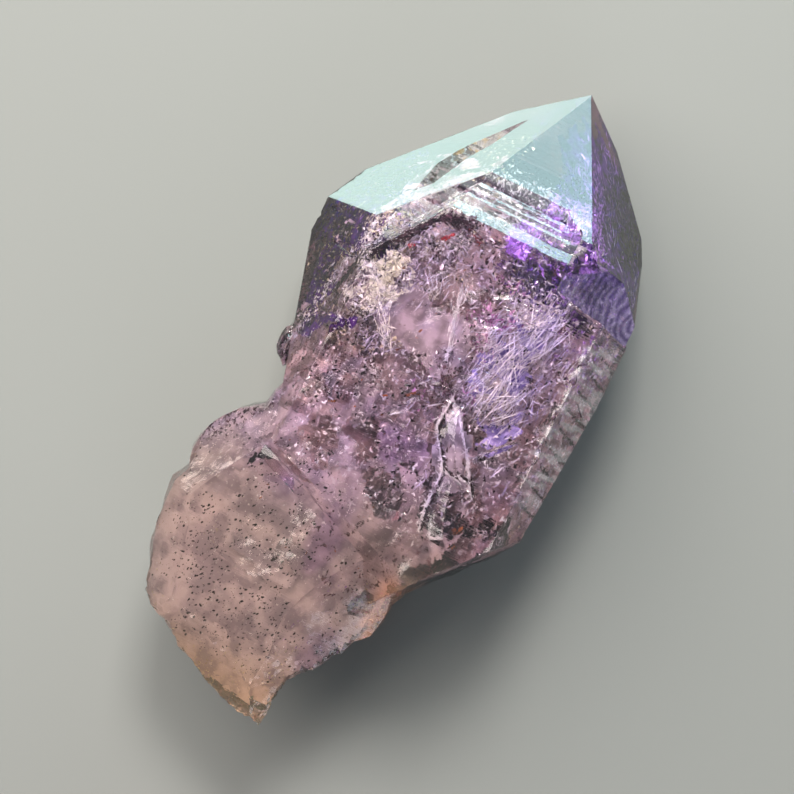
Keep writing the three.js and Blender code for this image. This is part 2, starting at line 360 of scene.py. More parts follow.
# %% [markdown]
# ## Amethyst
# Quartz is clear, bends light with an index of 1.544 and takes a glassy polish where it grew
# freely. Its violet sits in the body of the stone, so most of the colour comes from plain
# volume absorption. The surface carries the rest: clear at the point, hazy and grey on the
# lump, where thousands of cracks too small to model scatter the light. The material is made
# step by step in the next cells.

# %% Quartz values
QUARTZ_IOR = 1.544
BODY_TINT = colour("#d59e9e")
BODY_DENSITY = 36
POINT_FACE_TURNS = (-2, 61, 300)
POINT_FACE_ANGLE = 51.8
FACING_IT = (0.97, 0.995)
# The sockets of a Mix node: its factor, its two colours and the mixed colour
FACTOR, FIRST, SECOND, MIXED = 0, 6, 7, 2

# Grown and broken quartz: glassy, clear in thin places and violet grey with depth
amethyst, tree = new_material("natural_amethyst")
where = millimetres(tree)
split = add_node(tree, "SeparateXYZ", {"Vector": where}).outputs
print("index of refraction:", QUARTZ_IOR)

# %% [markdown]
# A part of the surface is picked out by ranges: each range fades from nothing to all between
# two values of a coordinate, a slope or a noise, and the ranges of one part are multiplied.
# Vertex paint would need a finer net, and an image would need an unwrapped surface.

# %% Pick out parts of the surface


def part_of_surface(*ranges):
    mask = None
    for value, start, end in ranges:
        step = add_node(tree, "MapRange", {
            "Value": value, "From Min": start, "From Max": end,
        }, interpolation_type="SMOOTHSTEP").outputs[0]
        if mask is None:
            mask = step
        else:
            mask = add_node(tree, "Math", {0: mask, 1: step}, operation="MULTIPLY").outputs[0]
    return mask


def facing_along(normal):
    facing_to = add_node(tree, "NewGeometry").outputs["Normal"]
    dot = add_node(tree, "VectorMath", {0: facing_to, 1: normal}, operation="DOT_PRODUCT")
    return dot.outputs["Value"]


def point_normal(turn):
    around, tilt = math.radians(turn), math.radians(POINT_FACE_ANGLE)
    return math.sin(tilt) * math.sin(around), math.cos(tilt), math.sin(tilt) * math.cos(around)


front_face, right_face, left_face = (
    part_of_surface((facing_along(point_normal(turn)), *FACING_IT)) for turn in POINT_FACE_TURNS
)
on_point = add_node(tree, "Math", {0: front_face, 1: right_face}, operation="MAXIMUM").outputs[0]
on_point = add_node(tree, "Math", {0: on_point, 1: left_face}, operation="MAXIMUM").outputs[0]
off_point = add_node(tree, "Math", {0: 1.0, 1: on_point}, operation="SUBTRACT").outputs[0]

print("faces of the point picked out:", len(POINT_FACE_TURNS))

# %% [markdown]
# Noise breaks up every border, because nothing in a stone fades along a straight line. Each
# noise has a real size, given as how many fit in a millimetre: the drift is 6 mm across, a
# blotch 3 mm and a grain under 1 mm. The streaks are stretched along x, as the growth lines are.

# %% Head, lump, end and flange
DRIFTS_PER_MM = 0.16
DRIFT_REACH = 14.0
BLOTCHES_PER_MM = 0.35
GRAINS_PER_MM = 1.3
STREAKS_PER_MM = (0.1, 1.2, 0.2)

drift = add_node(tree, "TexNoise", {
    "Vector": where, "Scale": DRIFTS_PER_MM, "Detail": 3.0,
}).outputs["Fac"]
wander = add_node(tree, "Math", {
    0: drift, 1: DRIFT_REACH, 2: split["Y"],
}, operation="MULTIPLY_ADD").outputs[0]
blotches = add_node(tree, "TexNoise", {
    "Vector": where, "Scale": BLOTCHES_PER_MM, "Detail": 4.0,
}).outputs["Fac"]
grain = add_node(tree, "TexNoise", {
    "Vector": where, "Scale": GRAINS_PER_MM, "Detail": 5.0,
}).outputs["Fac"]
streaked = add_node(tree, "Mapping", {"Vector": where, "Scale": STREAKS_PER_MM}).outputs[0]
streaks = add_node(tree, "TexNoise", {"Vector": streaked, "Scale": 1.0, "Detail": 3.0}).outputs["Fac"]

in_head = part_of_surface((wander, -21.0, -10.0))
in_lump = part_of_surface((wander, -38.0, -50.0))
in_end = part_of_surface((split["Y"], -69.0, -77.0))
patchy = part_of_surface((blotches, 0.42, 0.62))
flange_painted_glow = part_of_surface(
    (split["X"], 1.8, 4.2), (split["Y"], -67.5, -65.0), (split["Y"], -55.5, -58.5), (blotches, 0.3, 0.5),
)

# %% [markdown]
# Three places have a look of their own. The flat treads of the growth steps are frosted, the
# right side is worn pale with clear streaks left in it, and the walls of the leaf-shaped pit
# are etched, with painted golden glints and painted shade in dark patches, both strewn by the
# grain. The upper prism face leans 2 degrees, so heights are measured square to it.

# %% Pick out the growth steps, the worn right side and the pit
UPPER_FACE_SLOPE = -0.035
PIT_MIDDLE = (-9.6, -12.4, 5.6)
PIT_REACH = 5.6

over_axis = add_node(tree, "Math", {
    0: split["X"], 1: UPPER_FACE_SLOPE, 2: split["Z"],
}, operation="MULTIPLY_ADD").outputs[0]
on_steps = part_of_surface(
    (over_axis, 10.2, 10.35), (over_axis, 12.0, 11.7), (split["X"], -14.2, -13.4), (split["X"], 6.3, 5.9),
    (split["Y"], -26.5, -25.5), (split["Y"], -12.6, -13.6), (streaks, 0.3, 0.6),
)
on_right_side = part_of_surface(
    (split["X"], 10.6, 12.4), (split["Y"], -23.6, -25.0), (split["Y"], -47.0, -41.0), (split["Z"], 0.0, 3.0),
    (streaks, 0.49, 0.56),
)
from_pit = add_node(tree, "VectorMath", {0: where, 1: PIT_MIDDLE}, operation="DISTANCE").outputs["Value"]
pit_ranges = [
    (from_pit, PIT_REACH + 2.5, PIT_REACH + 2.0), (off_point, 0.2, 0.9), (split["Y"], -18.6, -18.2),
    (split["X"], -13.4, -12.9), (over_axis, 10.3, 10.0),
]
in_pit = part_of_surface(*pit_ranges)
# Painted golden glints and painted shade in dark patches, strewn by the grain over the pit
pit_painted_glints = part_of_surface(*pit_ranges, (grain, 0.56, 0.62), (split["Y"], -15.0, -13.0))
pit_painted_shade = part_of_surface(*pit_ranges, (grain, 0.44, 0.39))

# %% [markdown]
# Each part gets its own colour and its own haze, and parts that overlap are painted in order.
# A broken or etched face is a little rough from grain to grain, and a grown one is polished.

# %% Surface colour, haze and gloss
BODY_ROUGHNESS = (0.03, 0.2)
LUMP_ROUGHNESS = (0.04, 0.16)
POINT_ROUGHNESS = 0.02
STEP_ROUGHNESS = 0.12
GRAIN_SPAN = (0.35, 0.7)


def painted(base, *layers):
    for mask, code in layers:
        base = add_node(tree, "Mix", {
            FACTOR: mask, FIRST: base, SECOND: colour(code),
        }, data_type="RGBA").outputs[MIXED]
    return base


def cleared(base, *layers):
    for mask, change in layers:
        base = add_node(tree, "Math", {0: mask, 1: change, 2: base}, operation="MULTIPLY_ADD").outputs[0]
    return base


# The brown of the lump and the peach of its broken end and flange, with their haze, are painted warm light
# from behind, laid over the stone's own grey
# The pale cyan on the front face of the point is a painted reflection of a pale sky, added to the real
# reflection of the lamp beyond the point
skin_colour = painted(
    colour("#e2cfdc"), (patchy, "#d9c6ee"), (in_head, "#d9c6ee"), (in_lump, "#c4b8ad"),
    (in_end, "#c9ad8a"), (flange_painted_glow, "#eeb18e"), (front_face, "#c2f0f4"), (on_steps, "#e3f0f6"),
    (on_right_side, "#dfe0e2"), (in_pit, "#dbe2e0"), (pit_painted_glints, "#ecd084"), (pit_painted_shade, "#605e59"),
)
clearness = cleared(
    0.995, (in_lump, -0.02), (in_end, -0.07), (flange_painted_glow, -0.16), (front_face, -0.015),
    (on_steps, -0.07), (on_right_side, -0.18), (in_pit, -0.07),
)
body_gloss, lump_gloss = (
    add_node(tree, "MapRange", {
        "Value": grain, "From Min": GRAIN_SPAN[0], "From Max": GRAIN_SPAN[1],
        "To Min": glossiest, "To Max": roughest,
    }).outputs[0] for glossiest, roughest in (BODY_ROUGHNESS, LUMP_ROUGHNESS)
)
gloss = add_node(tree, "Mix", {FACTOR: in_lump, 2: body_gloss, 3: lump_gloss}).outputs[0]
gloss = add_node(tree, "Mix", {FACTOR: on_point, 2: gloss, 3: POINT_ROUGHNESS}).outputs[0]
gloss = add_node(tree, "Mix", {FACTOR: on_steps, 2: gloss, 3: STEP_ROUGHNESS}).outputs[0]
print("colours on the surface:", len(tree.nodes), "nodes so far")

# %% [markdown]
# Relief finer than the net is bump: growth lines that run across the prism, two or three to a
# millimetre, and shallow etched facets everywhere but on the faces of the point.

# %% Fine relief as bump
LINES_PER_MM = (0.07, 2.6, 0.07)
LINE_DEPTH = 0.05
FACETS_PER_MM = 1.1
FACET_DEPTH = 0.03
GRAIN_DEPTH = 0.03

across = add_node(tree, "Mapping", {"Vector": where, "Scale": LINES_PER_MM}).outputs[0]
lines = add_node(tree, "TexNoise", {"Vector": across, "Scale": 1.0, "Detail": 3.0}).outputs["Fac"]
facets = add_node(tree, "TexVoronoi", {
    "Vector": where, "Scale": FACETS_PER_MM,
}, feature="F1", distance="CHEBYCHEV").outputs["Distance"]
line_bump = add_node(tree, "Bump", {
    "Strength": off_point, "Distance": LINE_DEPTH * MM, "Height": lines,
})
facet_bump = add_node(tree, "Bump", {
    "Strength": off_point, "Distance": FACET_DEPTH * MM, "Height": facets,
    "Normal": line_bump.outputs[0],
})
grain_bump = add_node(tree, "Bump", {
    "Strength": off_point, "Distance": GRAIN_DEPTH * MM, "Height": grain,
    "Normal": facet_bump.outputs[0],
})

# %% [markdown]
# The shelf at the right edge is hazy, and its lavender is partly the violet of the stone and
# partly a painted reflection of the sky. Its rings spread from the place at the edge where it
# was struck, and each ring is painted a little paler on its outer side: painted light and shade
# on the ripples.

# %% Paint light and shade on the rippled shelf, and haze it
SHELF_TURN = math.radians(43)
SHELF_STRUCK = (16.4, -20.4, 1.6)
RIPPLE_STEP = 1.15
RIPPLE_WAVE = 3.0
SHELF_PAINTED_SHADE = "#5f4f80"
SHELF_PAINTED_LIGHT = "#b4a4ce"

on_shelf = part_of_surface(
    (facing_along((math.sin(SHELF_TURN), 0, math.cos(SHELF_TURN))), 0.93, 0.975), (split["X"], 4.6, 5.4),
    (split["Y"], -24.2, -23.4), (split["Y"], -16.8, -17.2),
)
from_struck = add_node(tree, "VectorMath", {
    0: where, 1: SHELF_STRUCK,
}, operation="DISTANCE").outputs["Value"]
wavy = add_node(tree, "Math", {
    0: blotches, 1: RIPPLE_WAVE, 2: from_struck,
}, operation="MULTIPLY_ADD").outputs[0]
phase = add_node(tree, "Math", {0: wavy, 1: 2 * math.pi / RIPPLE_STEP}, operation="MULTIPLY").outputs[0]
rings = add_node(tree, "Math", {0: phase}, operation="SINE").outputs[0]
# Painted light and shade on the ripples, over a painted reflection of the sky in lavender
shelf_painted_light_and_shade = painted(
    colour(SHELF_PAINTED_SHADE), (part_of_surface((rings, -1.6, 2.4)), SHELF_PAINTED_LIGHT),
    (part_of_surface((grain, 0.5, 0.68)), SHELF_PAINTED_LIGHT),
)
skin_colour = add_node(tree, "Mix", {
    FACTOR: on_shelf, FIRST: skin_colour, SECOND: shelf_painted_light_and_shade,
}, data_type="RGBA").outputs[MIXED]
clearness = cleared(clearness, (on_shelf, -0.35))
print("rings on the shelf:", RIPPLE_STEP, "mm apart")

# %% [markdown]
# All of it goes into one shader. Transmission lets the light in, the index bends it, and the
# volume colours it by depth. The finish is that of grown and broken quartz: mirror-smooth on
# the point and dull in the etched places.

# %% Put the amethyst together
surface = add_node(tree, "BsdfPrincipled", {
    "Base Color": skin_colour, "Roughness": gloss, "IOR": QUARTZ_IOR,
    "Transmission Weight": clearness, "Normal": grain_bump.outputs[0],
})
body = add_node(tree, "VolumeAbsorption", {"Color": BODY_TINT, "Density": BODY_DENSITY})
add_node(tree, "OutputMaterial", {"Surface": surface.outputs[0], "Volume": body.outputs[0]})

skin.data.materials.clear()
skin.data.materials.append(amethyst)
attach(skin, "root")
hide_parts("crystal")
print("amethyst:", len(tree.nodes), "nodes")

# %% [markdown]
# ## The inside
# A crack inside quartz is a thin gap that mirrors light like silver foil, and a healed crack
# breaks up into countless small islands. Thousands of them fill this crystal, and they are
# what makes it glitter. One splinter is modelled as a flattened three-sided pyramid and
# copied. It is solid and opaque, because that keeps the glitter in every renderer, and every
# copy stays clear of the skin.
#
# First comes a way to tell how deep a place lies. A ray straight up from inside a closed
# surface meets it an odd number of times. A ray straight down finds the skin over a place.

# %% Test how deep a place lies
JUST_PAST = 0.001
OVER_EVERYTHING = 20

crystal_tree = BVHTree.FromPolygons(
    [vertex.co for vertex in skin.data.vertices],
    [face.vertices for face in skin.data.polygons],
)
UPWARD = Vector((0, 0, 1))


def depth_at(spot):
    crossings = 0
    hit = crystal_tree.ray_cast(spot, UPWARD)[0]
    while hit is not None:
        crossings += 1
        hit = crystal_tree.ray_cast(hit + UPWARD * (JUST_PAST * MM), UPWARD)[0]
    distance = crystal_tree.find_nearest(spot)[3] / MM
    return distance if crossings % 2 == 1 else -distance


def skin_over(x, y):
    return crystal_tree.ray_cast(place(x, y, OVER_EVERYTHING), -UPWARD)[0]


print("depth in the middle:", round(depth_at(place(0, -30, 0)), 1), "mm")

# %% [markdown]
# A splinter is a cone with three sides, and a plate is a flat five-sided disc that is extruded
# once. Both are only a few faces, because there are tens of thousands of copies.

# %% Model one splinter and one plate
PLATE_CORNERS = 5


def model_splinter():
    bpy.ops.object.select_all(action="DESELECT")
    bpy.ops.mesh.primitive_cone_add(vertices=3, radius1=1, radius2=0, depth=1, end_fill_type="NGON")
    return bpy.context.object


def model_plate():
    bpy.ops.object.select_all(action="DESELECT")
    bpy.ops.mesh.primitive_circle_add(vertices=PLATE_CORNERS, radius=1, fill_type="NGON")
    plate = bpy.context.object
    bpy.ops.object.mode_set(mode="EDIT")
    bpy.ops.mesh.select_all(action="SELECT")
    bpy.ops.mesh.extrude_region_move(TRANSFORM_OT_translate={"value": (0, 0, 1)})
    bpy.ops.mesh.select_all(action="SELECT")
    bpy.ops.mesh.normals_make_consistent(inside=False)
    bpy.ops.object.mode_set(mode="OBJECT")
    return plate


splinter_model = model_splinter()
plate_model = model_plate()
print("faces:", len(splinter_model.data.polygons), "a splinter,", len(plate_model.data.polygons), "a plate")

# %% [markdown]
# Every copy is written into one mesh, and each carries a tone from 0 to 1 that its material
# turns into a colour. Instances would be lighter, but they wouldn't be real geometry. The model's
# faces are sorted first, because extrude numbers them in a new order each time. A copy is laid
# by its normal, the way it points and its size along, across and through.

# %% Copy a small model to many places in one mesh


def scatter(name, model, copies):
    pattern = np.array([vertex.co[:] for vertex in model.data.vertices])
    faces = sorted(list(face.vertices) for face in model.data.polygons)
    points, polygons, tones = [], [], []
    for turn, tone in copies:
        matrix = np.array(turn)
        start = len(points) * len(pattern)
        points.append(pattern @ matrix[:3, :3].T + matrix[:3, 3])
        polygons += [[start + i for i in face] for face in faces]
        tones += [min(1, max(0, tone))] * len(pattern)
    mesh = bpy.data.meshes.new(name)
    mesh.from_pydata(np.concatenate(points).tolist(), [], polygons)
    mesh.attributes.new("tone", "FLOAT", "POINT").data.foreach_set("value", tones)
    piece = bpy.data.objects.new(name, mesh)
    bpy.context.scene.collection.objects.link(piece)
    print(name, len(copies), "copies")
    return piece


def laid(spot, normal, along, scale):
    over = normal.normalized()
    ahead = (along - over * along.dot(over)).normalized()
    turn = Matrix((ahead, over.cross(ahead), over)).transposed().to_4x4()
    return Matrix.Translation(spot) @ turn @ Matrix.Diagonal([side * MM for side in scale]).to_4x4()


def random_direction(draw, flatness):
    return Vector((draw.gauss(0, 1), draw.gauss(0, 1), draw.gauss(0, 1) * flatness)).normalized()


# %% [markdown]
# Near the middle of the front is a clear window, an oval that the glitter leaves free down to
# a smooth crack. A splinter is kept only where it fits: inside the skin by a quarter of a
# millimetre at its middle and at both ends.

# %% Keep splinters off the skin and the window
CLEARANCE = 0.25
WINDOW = (-5.6, -31.0)
WINDOW_SIZE = (3.8, 3.1)
WINDOW_FLOOR = 8.6


def in_window(x, y, z):
    across, along = ((p - middle) / side for p, middle, side in zip((x, y), WINDOW, WINDOW_SIZE))
    return z > WINDOW_FLOOR and across ** 2 + along ** 2 < 1


def fits(turn, half):
    middle = depth_at(turn.translation)
    if middle > CLEARANCE + half:
        return True
    if middle < CLEARANCE:
        return False
    return all(depth_at(turn @ Vector((end, 0, 0))) > CLEARANCE for end in (-1, 1))


print("window:", 2 * WINDOW_SIZE[0], "by", 2 * WINDOW_SIZE[1], "mm")

# %% [markdown]
# Splinters lie in swarms. Each swarm fills a ragged oval, is thinned by a noise pattern so
# that it clots, and has its own size, slenderness and tone. Short splinters are commoner than
# long ones. Where a swarm has a grain, its splinters all point nearly the same way, like
# needles in a bundle.

# %% Draw the splinters of one swarm
CLOT_SIZE = 2.2
RAGGED_SIZE = 5
RAGGED = 0.9
THICKEST = 0.12
WIDTH_SPREAD = (0.6, 1.4)
THICKNESS_SHARE = (0.03, 0.14)


def random_length(draw, length):
    return length[0] + (length[1] - length[0]) * draw.random() ** 2


def splinter(draw, spot, normal, along, reach, slim, tone):
    wide = reach / 2 * slim * draw.uniform(*WIDTH_SPREAD)
    thick = min(reach * draw.uniform(*THICKNESS_SHARE), THICKEST)
    turn = laid(spot, normal, along, (reach / 2, wide, thick))
    shade = draw.uniform(*tone)
    return [(turn, shade)] if fits(turn, reach / 2) else []


def swarm(seed, low, high, count, length, slim, tone, flatness=1.0, grain=None, stray=0.25, clots=-0.1):
    draw = random.Random(seed)
    offset = Vector((draw.uniform(0, 90), 0, 0))
    found = []
    for _ in range(count):
        part = [draw.uniform(-1, 1) for _ in range(3)]
        offsets = [(a + b) / 2 + (b - a) / 2 * p for a, b, p in zip(low, high, part)]
        spot = place(*offsets)
        reach = random_length(draw, length)
        out = part[0] ** 2 + part[1] ** 2 + noise.noise(spot / (RAGGED_SIZE * MM) + offset) * RAGGED
        if out > 1 or noise.noise(spot / (CLOT_SIZE * MM) + offset) < clots or in_window(*offsets):
            continue
        normal = random_direction(draw, flatness)
        along = random_direction(draw, 1)
        if grain:
            along = Vector(grain) + along * stray
        found += splinter(draw, spot, normal, along, reach, slim, tone)
    return found


# %% [markdown]
# A crack seen on its edge shows as a narrow line. It is drawn as a seam: splinters strewn
# along a line between two places, a little to either side of it. A seam's row gives its seed,
# its two ends, how far splinters stray along x, y and z, their number, lengths, slenderness
# and tones, and how crooked they lie.

# %% Draw the splinters of one seam
SEAM_FLATNESS = 1.5


def seam(seed, start, end, spread, count, length, slim, tone, stray=0.5):
    draw = random.Random(seed)
    found = []
    line = Vector(end) - Vector(start)
    for _ in range(count):
        offset = Vector([draw.gauss(0, side) for side in spread])
        spot = place(*(Vector(start) + line * draw.random() + offset))
        reach = random_length(draw, length)
        normal = random_direction(draw, SEAM_FLATNESS)
        along = line.normalized() + random_direction(draw, 1) * stray
        found += splinter(draw, spot, normal, along, reach, slim, tone)
    return found


# %% [markdown]
# One crack below the middle of the front is kinked, and its rim shows as a fine bright line
# with a dark one beside it, which is painted shadow. The rim is drawn as seams from corner to
# corner, at a fixed depth under the skin.

# %% Draw the kinked crack's rim
KINKS = [(1.0, -37.0), (0.8, -40.4), (3.5, -44.4), (3.6, -48.6), (4.0, -51.1)]
KINK_BRANCH = [(3.5, -44.4), (6.7, -44.4), (7.5, -45.5)]
KINK_RIGHT = [(1.0, -37.0), (3.2, -39.6), (5.4, -42.2), (6.7, -44.4)]
RIM_DEPTH = 0.8
RIM_SPREAD = (0.05, 0.05, 0.1)
RIM_LENGTHS = (0.6, 2.2)
SHADOW_SIDE = 0.3


def under_skin(x, y, depth):
    return x, y, (skin_over(x, y).z - point.z) / MM - depth


def rim(seed, corners, tone):
    points = [under_skin(x, y, RIM_DEPTH) for x, y in corners]
    found = []
    for step, (start, end) in enumerate(zip(points, points[1:])):
        found += seam(seed + step, start, end, RIM_SPREAD, 120, RIM_LENGTHS, 0.06, tone, 0.06)
    return found


print("kinked crack:", KINKS[0], "to", KINKS[-1], "and", RIM_DEPTH, "mm deep")

# %% [markdown]
# A splinter flashes like silver foil, but towards one side only. The finish runs from a dark
# tone to a light one, splinter by splinter. Some metal in it gives the flash, and the rest is
# dull, so that it shows in soft light. A clear splinter around a gap of air would be truer,
# but it needs far more light paths, and the exported model would lose its glitter.

# %% A finish for splinters


def foil(name, dark, light, metallic, roughness, shine=0.5):
    material, tree = new_material(name)
    tone = add_node(tree, "Attribute", attribute_name="tone").outputs["Fac"]
    shade = add_node(tree, "Mix", {
        FACTOR: tone, FIRST: colour(dark), SECOND: colour(light),
    }, data_type="RGBA")
    surface = add_node(tree, "BsdfPrincipled", {
        "Base Color": shade.outputs[MIXED], "Metallic": metallic, "Roughness": roughness,
        "Specular IOR Level": shine,
    })
    add_node(tree, "OutputMaterial", {"Surface": surface.outputs[0]})
    return material


# %% [markdown]
# ### Pale glitter
# This is the glitter itself: small silvery islands of healed cracks, 0.1 to 1.3 mm long. It is
# thickest under the upper face and thins out in the lump, where it is also the finest. The
# finest real islands are smaller still, and are drawn as coarse as they need to show.
#
# A row gives a swarm's seed, two opposite corners of its box, how many splinters are tried,
# their lengths, slenderness and tones, and how flat they lie. Some rows add the way that the
# splinters point, how far they stray from it, and how sparse the swarm is between its clots.

# %% Pale glitter
pale_glitter = scatter("pale_glitter", splinter_model, (
    swarm(1, (-20, -39, 4), (16, -15, 12), 11000, (0.2, 1.0), 0.4, (0.2, 1), 1.4)
    + swarm(2, (-18, -53, 4), (15, -33, 12), 9000, (0.15, 0.8), 0.4, (0.15, 0.9), 1.4)
    + swarm(3, (-20, -53, -8), (16, -14, 5), 6000, (0.3, 1.3), 0.4, (0.1, 0.9))
    + swarm(4, (-25, -80, 3.6), (8, -46, 10.6), 9000, (0.1, 0.42), 0.5, (0.1, 1), 1.2)
    + swarm(6, (-12, -40, 5), (6, -16, 11.8), 5000, (0.12, 0.7), 0.4, (0.4, 1), 1.4)
    + swarm(80, (-14, -52, 8), (10, -34, 12), 5000, (0.08, 0.4), 0.5, (0.2, 1), 1.4)
))
# An open gap mirrors light: silvery points that twinkle over warm grey
pale_glitter.data.materials.append(foil("silvery_fracture", "#bbaaac", "#fffafa", 0.35, 0.2))

# %% [markdown]
# ### White glitter
# Cracks that opened wide scatter light to all sides, as crushed ice does. They follow the
# growth steps, the left edge and the rim of the kinked crack.

# %% White glitter
white_glitter = scatter("white_glitter", splinter_model, (
    swarm(5, (-6.5, -18.5, 6), (5, -12, 10.8), 3400, (0.15, 0.7), 0.4, (0.4, 1), 1.6, clots=-0.05)
    + swarm(7, (-18, -53, 6), (16, -14, 12), 3600, (0.2, 1.2), 0.3, (0, 1), 1.8, clots=0.0)
    + swarm(8, (-14, -25, 7), (-4, -14, 11.6), 2200, (0.15, 0.8), 0.35, (0.4, 1), 1.6)
    + swarm(86, (-14.5, -42, 8), (-3, -18, 11.9), 4000, (0.1, 0.55), 0.4, (0.4, 1), 1.6, clots=-0.05)
    + rim(100, KINKS, (0.7, 1))
    + rim(110, KINK_BRANCH, (0.6, 1))
    + rim(115, KINK_RIGHT, (0.3, 0.8))
    + swarm(87, (-17, -52, 8), (14, -18, 12), 2600, (0.25, 1.0), 0.45, (0.9, 1), 1.8, clots=0.05)
    + swarm(9, (-23, -57, 4), (-10, -43, 10), 1600, (0.12, 0.5), 0.5, (0, 1), 1.6, clots=0.0)
    + swarm(83, (-22, -74, 3.8), (4, -50, 10), 3200, (0.08, 0.36), 0.5, (0.5, 1), 1.4, clots=0.0)
    + swarm(10, (-21, -43, -2), (-14, -35, 4), 600, (0.15, 0.7), 0.5, (0.4, 1))
    + swarm(16, (1, -27, 9), (8, -22, 11.8), 700, (0.2, 0.8), 0.35, (0.2, 1), 1.6)
    + seam(
        59, (-3.4, -26.0, 11.2), (-1.4, -33.4, 11.0), (0.12, 0.3, 0.2), 160, (0.6, 2.4), 0.1, (0.6, 1), 0.12,
    )
    + seam(60, (-14.6, -23.6, 9.4), (-17.4, -39, 4.6), (0.5, 0.6, 0.8), 700, (0.2, 1.0), 0.4, (0.3, 1), 1.0)
    + seam(
        65, (-13.4, -21.6, 9.6), (-14.2, -29.0, 10.2), (0.3, 0.4, 0.5), 500, (0.2, 0.9), 0.4, (0.4, 1), 0.8,
    )
))
# Crushed quartz: snow-white from every side, with hardly a mirror flash
white_glitter.data.materials.append(foil("snowy_fracture", "#e9e2e6", "#ffffff", 0.15, 0.25))

# %% [markdown]
# ### Bundles of needles
# Some cracks healed into thin parallel tubes, which shine like silk. The widest bundle lies
# right of the middle, and its needles are up to 7 mm long. They are about a tenth of a
# millimetre wide, because the real tubes are too fine to show.

# %% Bundles of needles
UP_RIGHT = (0.3, 0.95, 0.1)
ACROSS = (0.95, -0.2, 0)

needles = scatter("needle_bundles", splinter_model, (
    swarm(11, (1, -38, 6), (11, -22, 11.9), 2400, (0.6, 2.2), 0.07, (0.1, 0.9), 1.4, UP_RIGHT, 0.08)
    + swarm(
        17, (1.2, -37, 9.8), (8.8, -22.5, 11.9), 620, (2.6, 7.0), 0.013, (0.6, 1),
        1.4, UP_RIGHT, 0.02, clots=-0.5,
    )
    + swarm(
        18, (-8, -34, 9.5), (-2, -25, 11.5), 60, (2.0, 5.0), 0.012, (0.5, 1),
        1.4, (-0.35, 0.9, 0), 0.1, clots=-1,
    )
    + swarm(12, (-13, -36, 6), (-4, -24, 11.5), 600, (0.8, 3.0), 0.08, (0.4, 1), 1.4, UP_RIGHT, 0.3)
    + swarm(13, (-4, -49, 5), (12, -28, 11.5), 900, (0.6, 2.4), 0.09, (0.3, 1), 1.4, UP_RIGHT, 0.5)
    + swarm(14, (-13, -25, 5), (4, -16, 11.5), 500, (0.6, 2.2), 0.09, (0.2, 0.9), 1.4, ACROSS, 0.6)
    + swarm(15, (6, -23, -7), (15, -5, 7), 800, (0.8, 3), 0.09, (0.0, 0.5), 1.0, (0.4, -0.9, 0.3), 0.3)
))
# Parallel tubes: a silky sheen, lilac in the shade and white along the lit side
needles.data.materials.append(foil("silky_needle", "#a99ed6", "#ffffff", 0.1, 0.3))

# %% [markdown]
# ### Violet glitter
# Under the point the stone is deepest violet, and a crack there sends back violet light only.
# The darkest splinters are painted shade in the two edges beside the upper face, where hardly
# any light comes back.

# %% Violet glitter
DOWN_RIGHT = (0.45, -0.85, 0.2)

violet_glitter = scatter("violet_glitter", splinter_model, (
    swarm(21, (-1, -25, 2), (10, -17, 11), 1800, (0.2, 1.1), 0.4, (0.0, 0.7), 1.4, clots=-0.3)
    # Nearly black splinters under the right face: painted shade
    + swarm(22, (1, -22, -9), (15, -3, 7), 9000, (0.3, 1.6), 0.35, (0, 0.1))
    + swarm(72, (1, -22, -9), (15.6, -3, 8), 4200, (0.2, 1.2), 0.35, (0.1, 0.8), clots=0.0)
    + swarm(
        89, (1.5, -15, -3), (9.5, -1.5, 6), 2400, (0.4, 2.0), 0.12, (0.15, 0.8),
        1.4, DOWN_RIGHT, 0.25, clots=-0.2,
    )
    # Nearly black splinters in the left edge: painted shade
    + swarm(23, (-21, -30, -8), (-11, -13, 8), 5500, (0.2, 1.4), 0.35, (0, 0.06))
    + swarm(73, (-19, -28, 2), (-12, -16, 10), 700, (0.2, 1.0), 0.35, (0.5, 1), clots=0.0)
    + swarm(24, (-1, -21, 4), (7, -12, 11), 1300, (0.2, 0.9), 0.4, (0.5, 1), 1.4)
    + swarm(27, (-1.4, -20.4, 8.5), (2.2, -16.2, 11.6), 900, (0.3, 1.4), 0.45, (0.9, 1), 1.6, clots=-0.3)
    + swarm(28, (0.8, -16.5, 6.5), (6, -12, 10.4), 900, (0.3, 1.3), 0.45, (0.8, 1), 1.6, clots=-0.2)
    + seam(29, (4.4, -8.6, 5.0), (8.2, -17.4, 9.4), (0.9, 0.8, 0.8), 420, (0.3, 1.3), 0.4, (0.4, 1), 1.0)
    + swarm(25, (-5, -75, -2), (5, -60, 6), 1400, (0.15, 0.6), 0.4, (0.2, 0.9))
    + swarm(26, (8, -31, 2), (15, -19, 10), 1200, (0.2, 1.0), 0.3, (0.2, 0.9))
))
# A crack behind deep colour: nearly black violet, with lilac where it faces the light
violet_glitter.data.materials.append(foil("violet_fracture", "#2c0f78", "#dda8ff", 0.3, 0.2, 0.1))

# %% [markdown]
# ### Dark splinters and painted shade
# A crack that has nothing bright to mirror looks dark, and these splinters are coloured dark.
# They make the brown and black patches and the row of short cracks that cross the right side.
# They are also painted shade in the dark lines under the steps, and painted shadow beside the
# kinked crack.

# %% Dark splinters and painted shade
CRACKS = 9
CRACK_START = -25.6
CRACK_STEP = 2.3
CRACK_DROP = 0.9


def crack_row():
    found = []
    for step in range(CRACKS):
        start = (12.2, CRACK_START - CRACK_STEP * step, 9.2)
        end = (14.9, CRACK_START - CRACK_DROP - CRACK_STEP * step, 4.4)
        found += seam(90 + step, start, end, (0.15, 0.1, 0.3), 160, (0.2, 0.9), 0.3, (0, 0.2), 0.4)
    return found


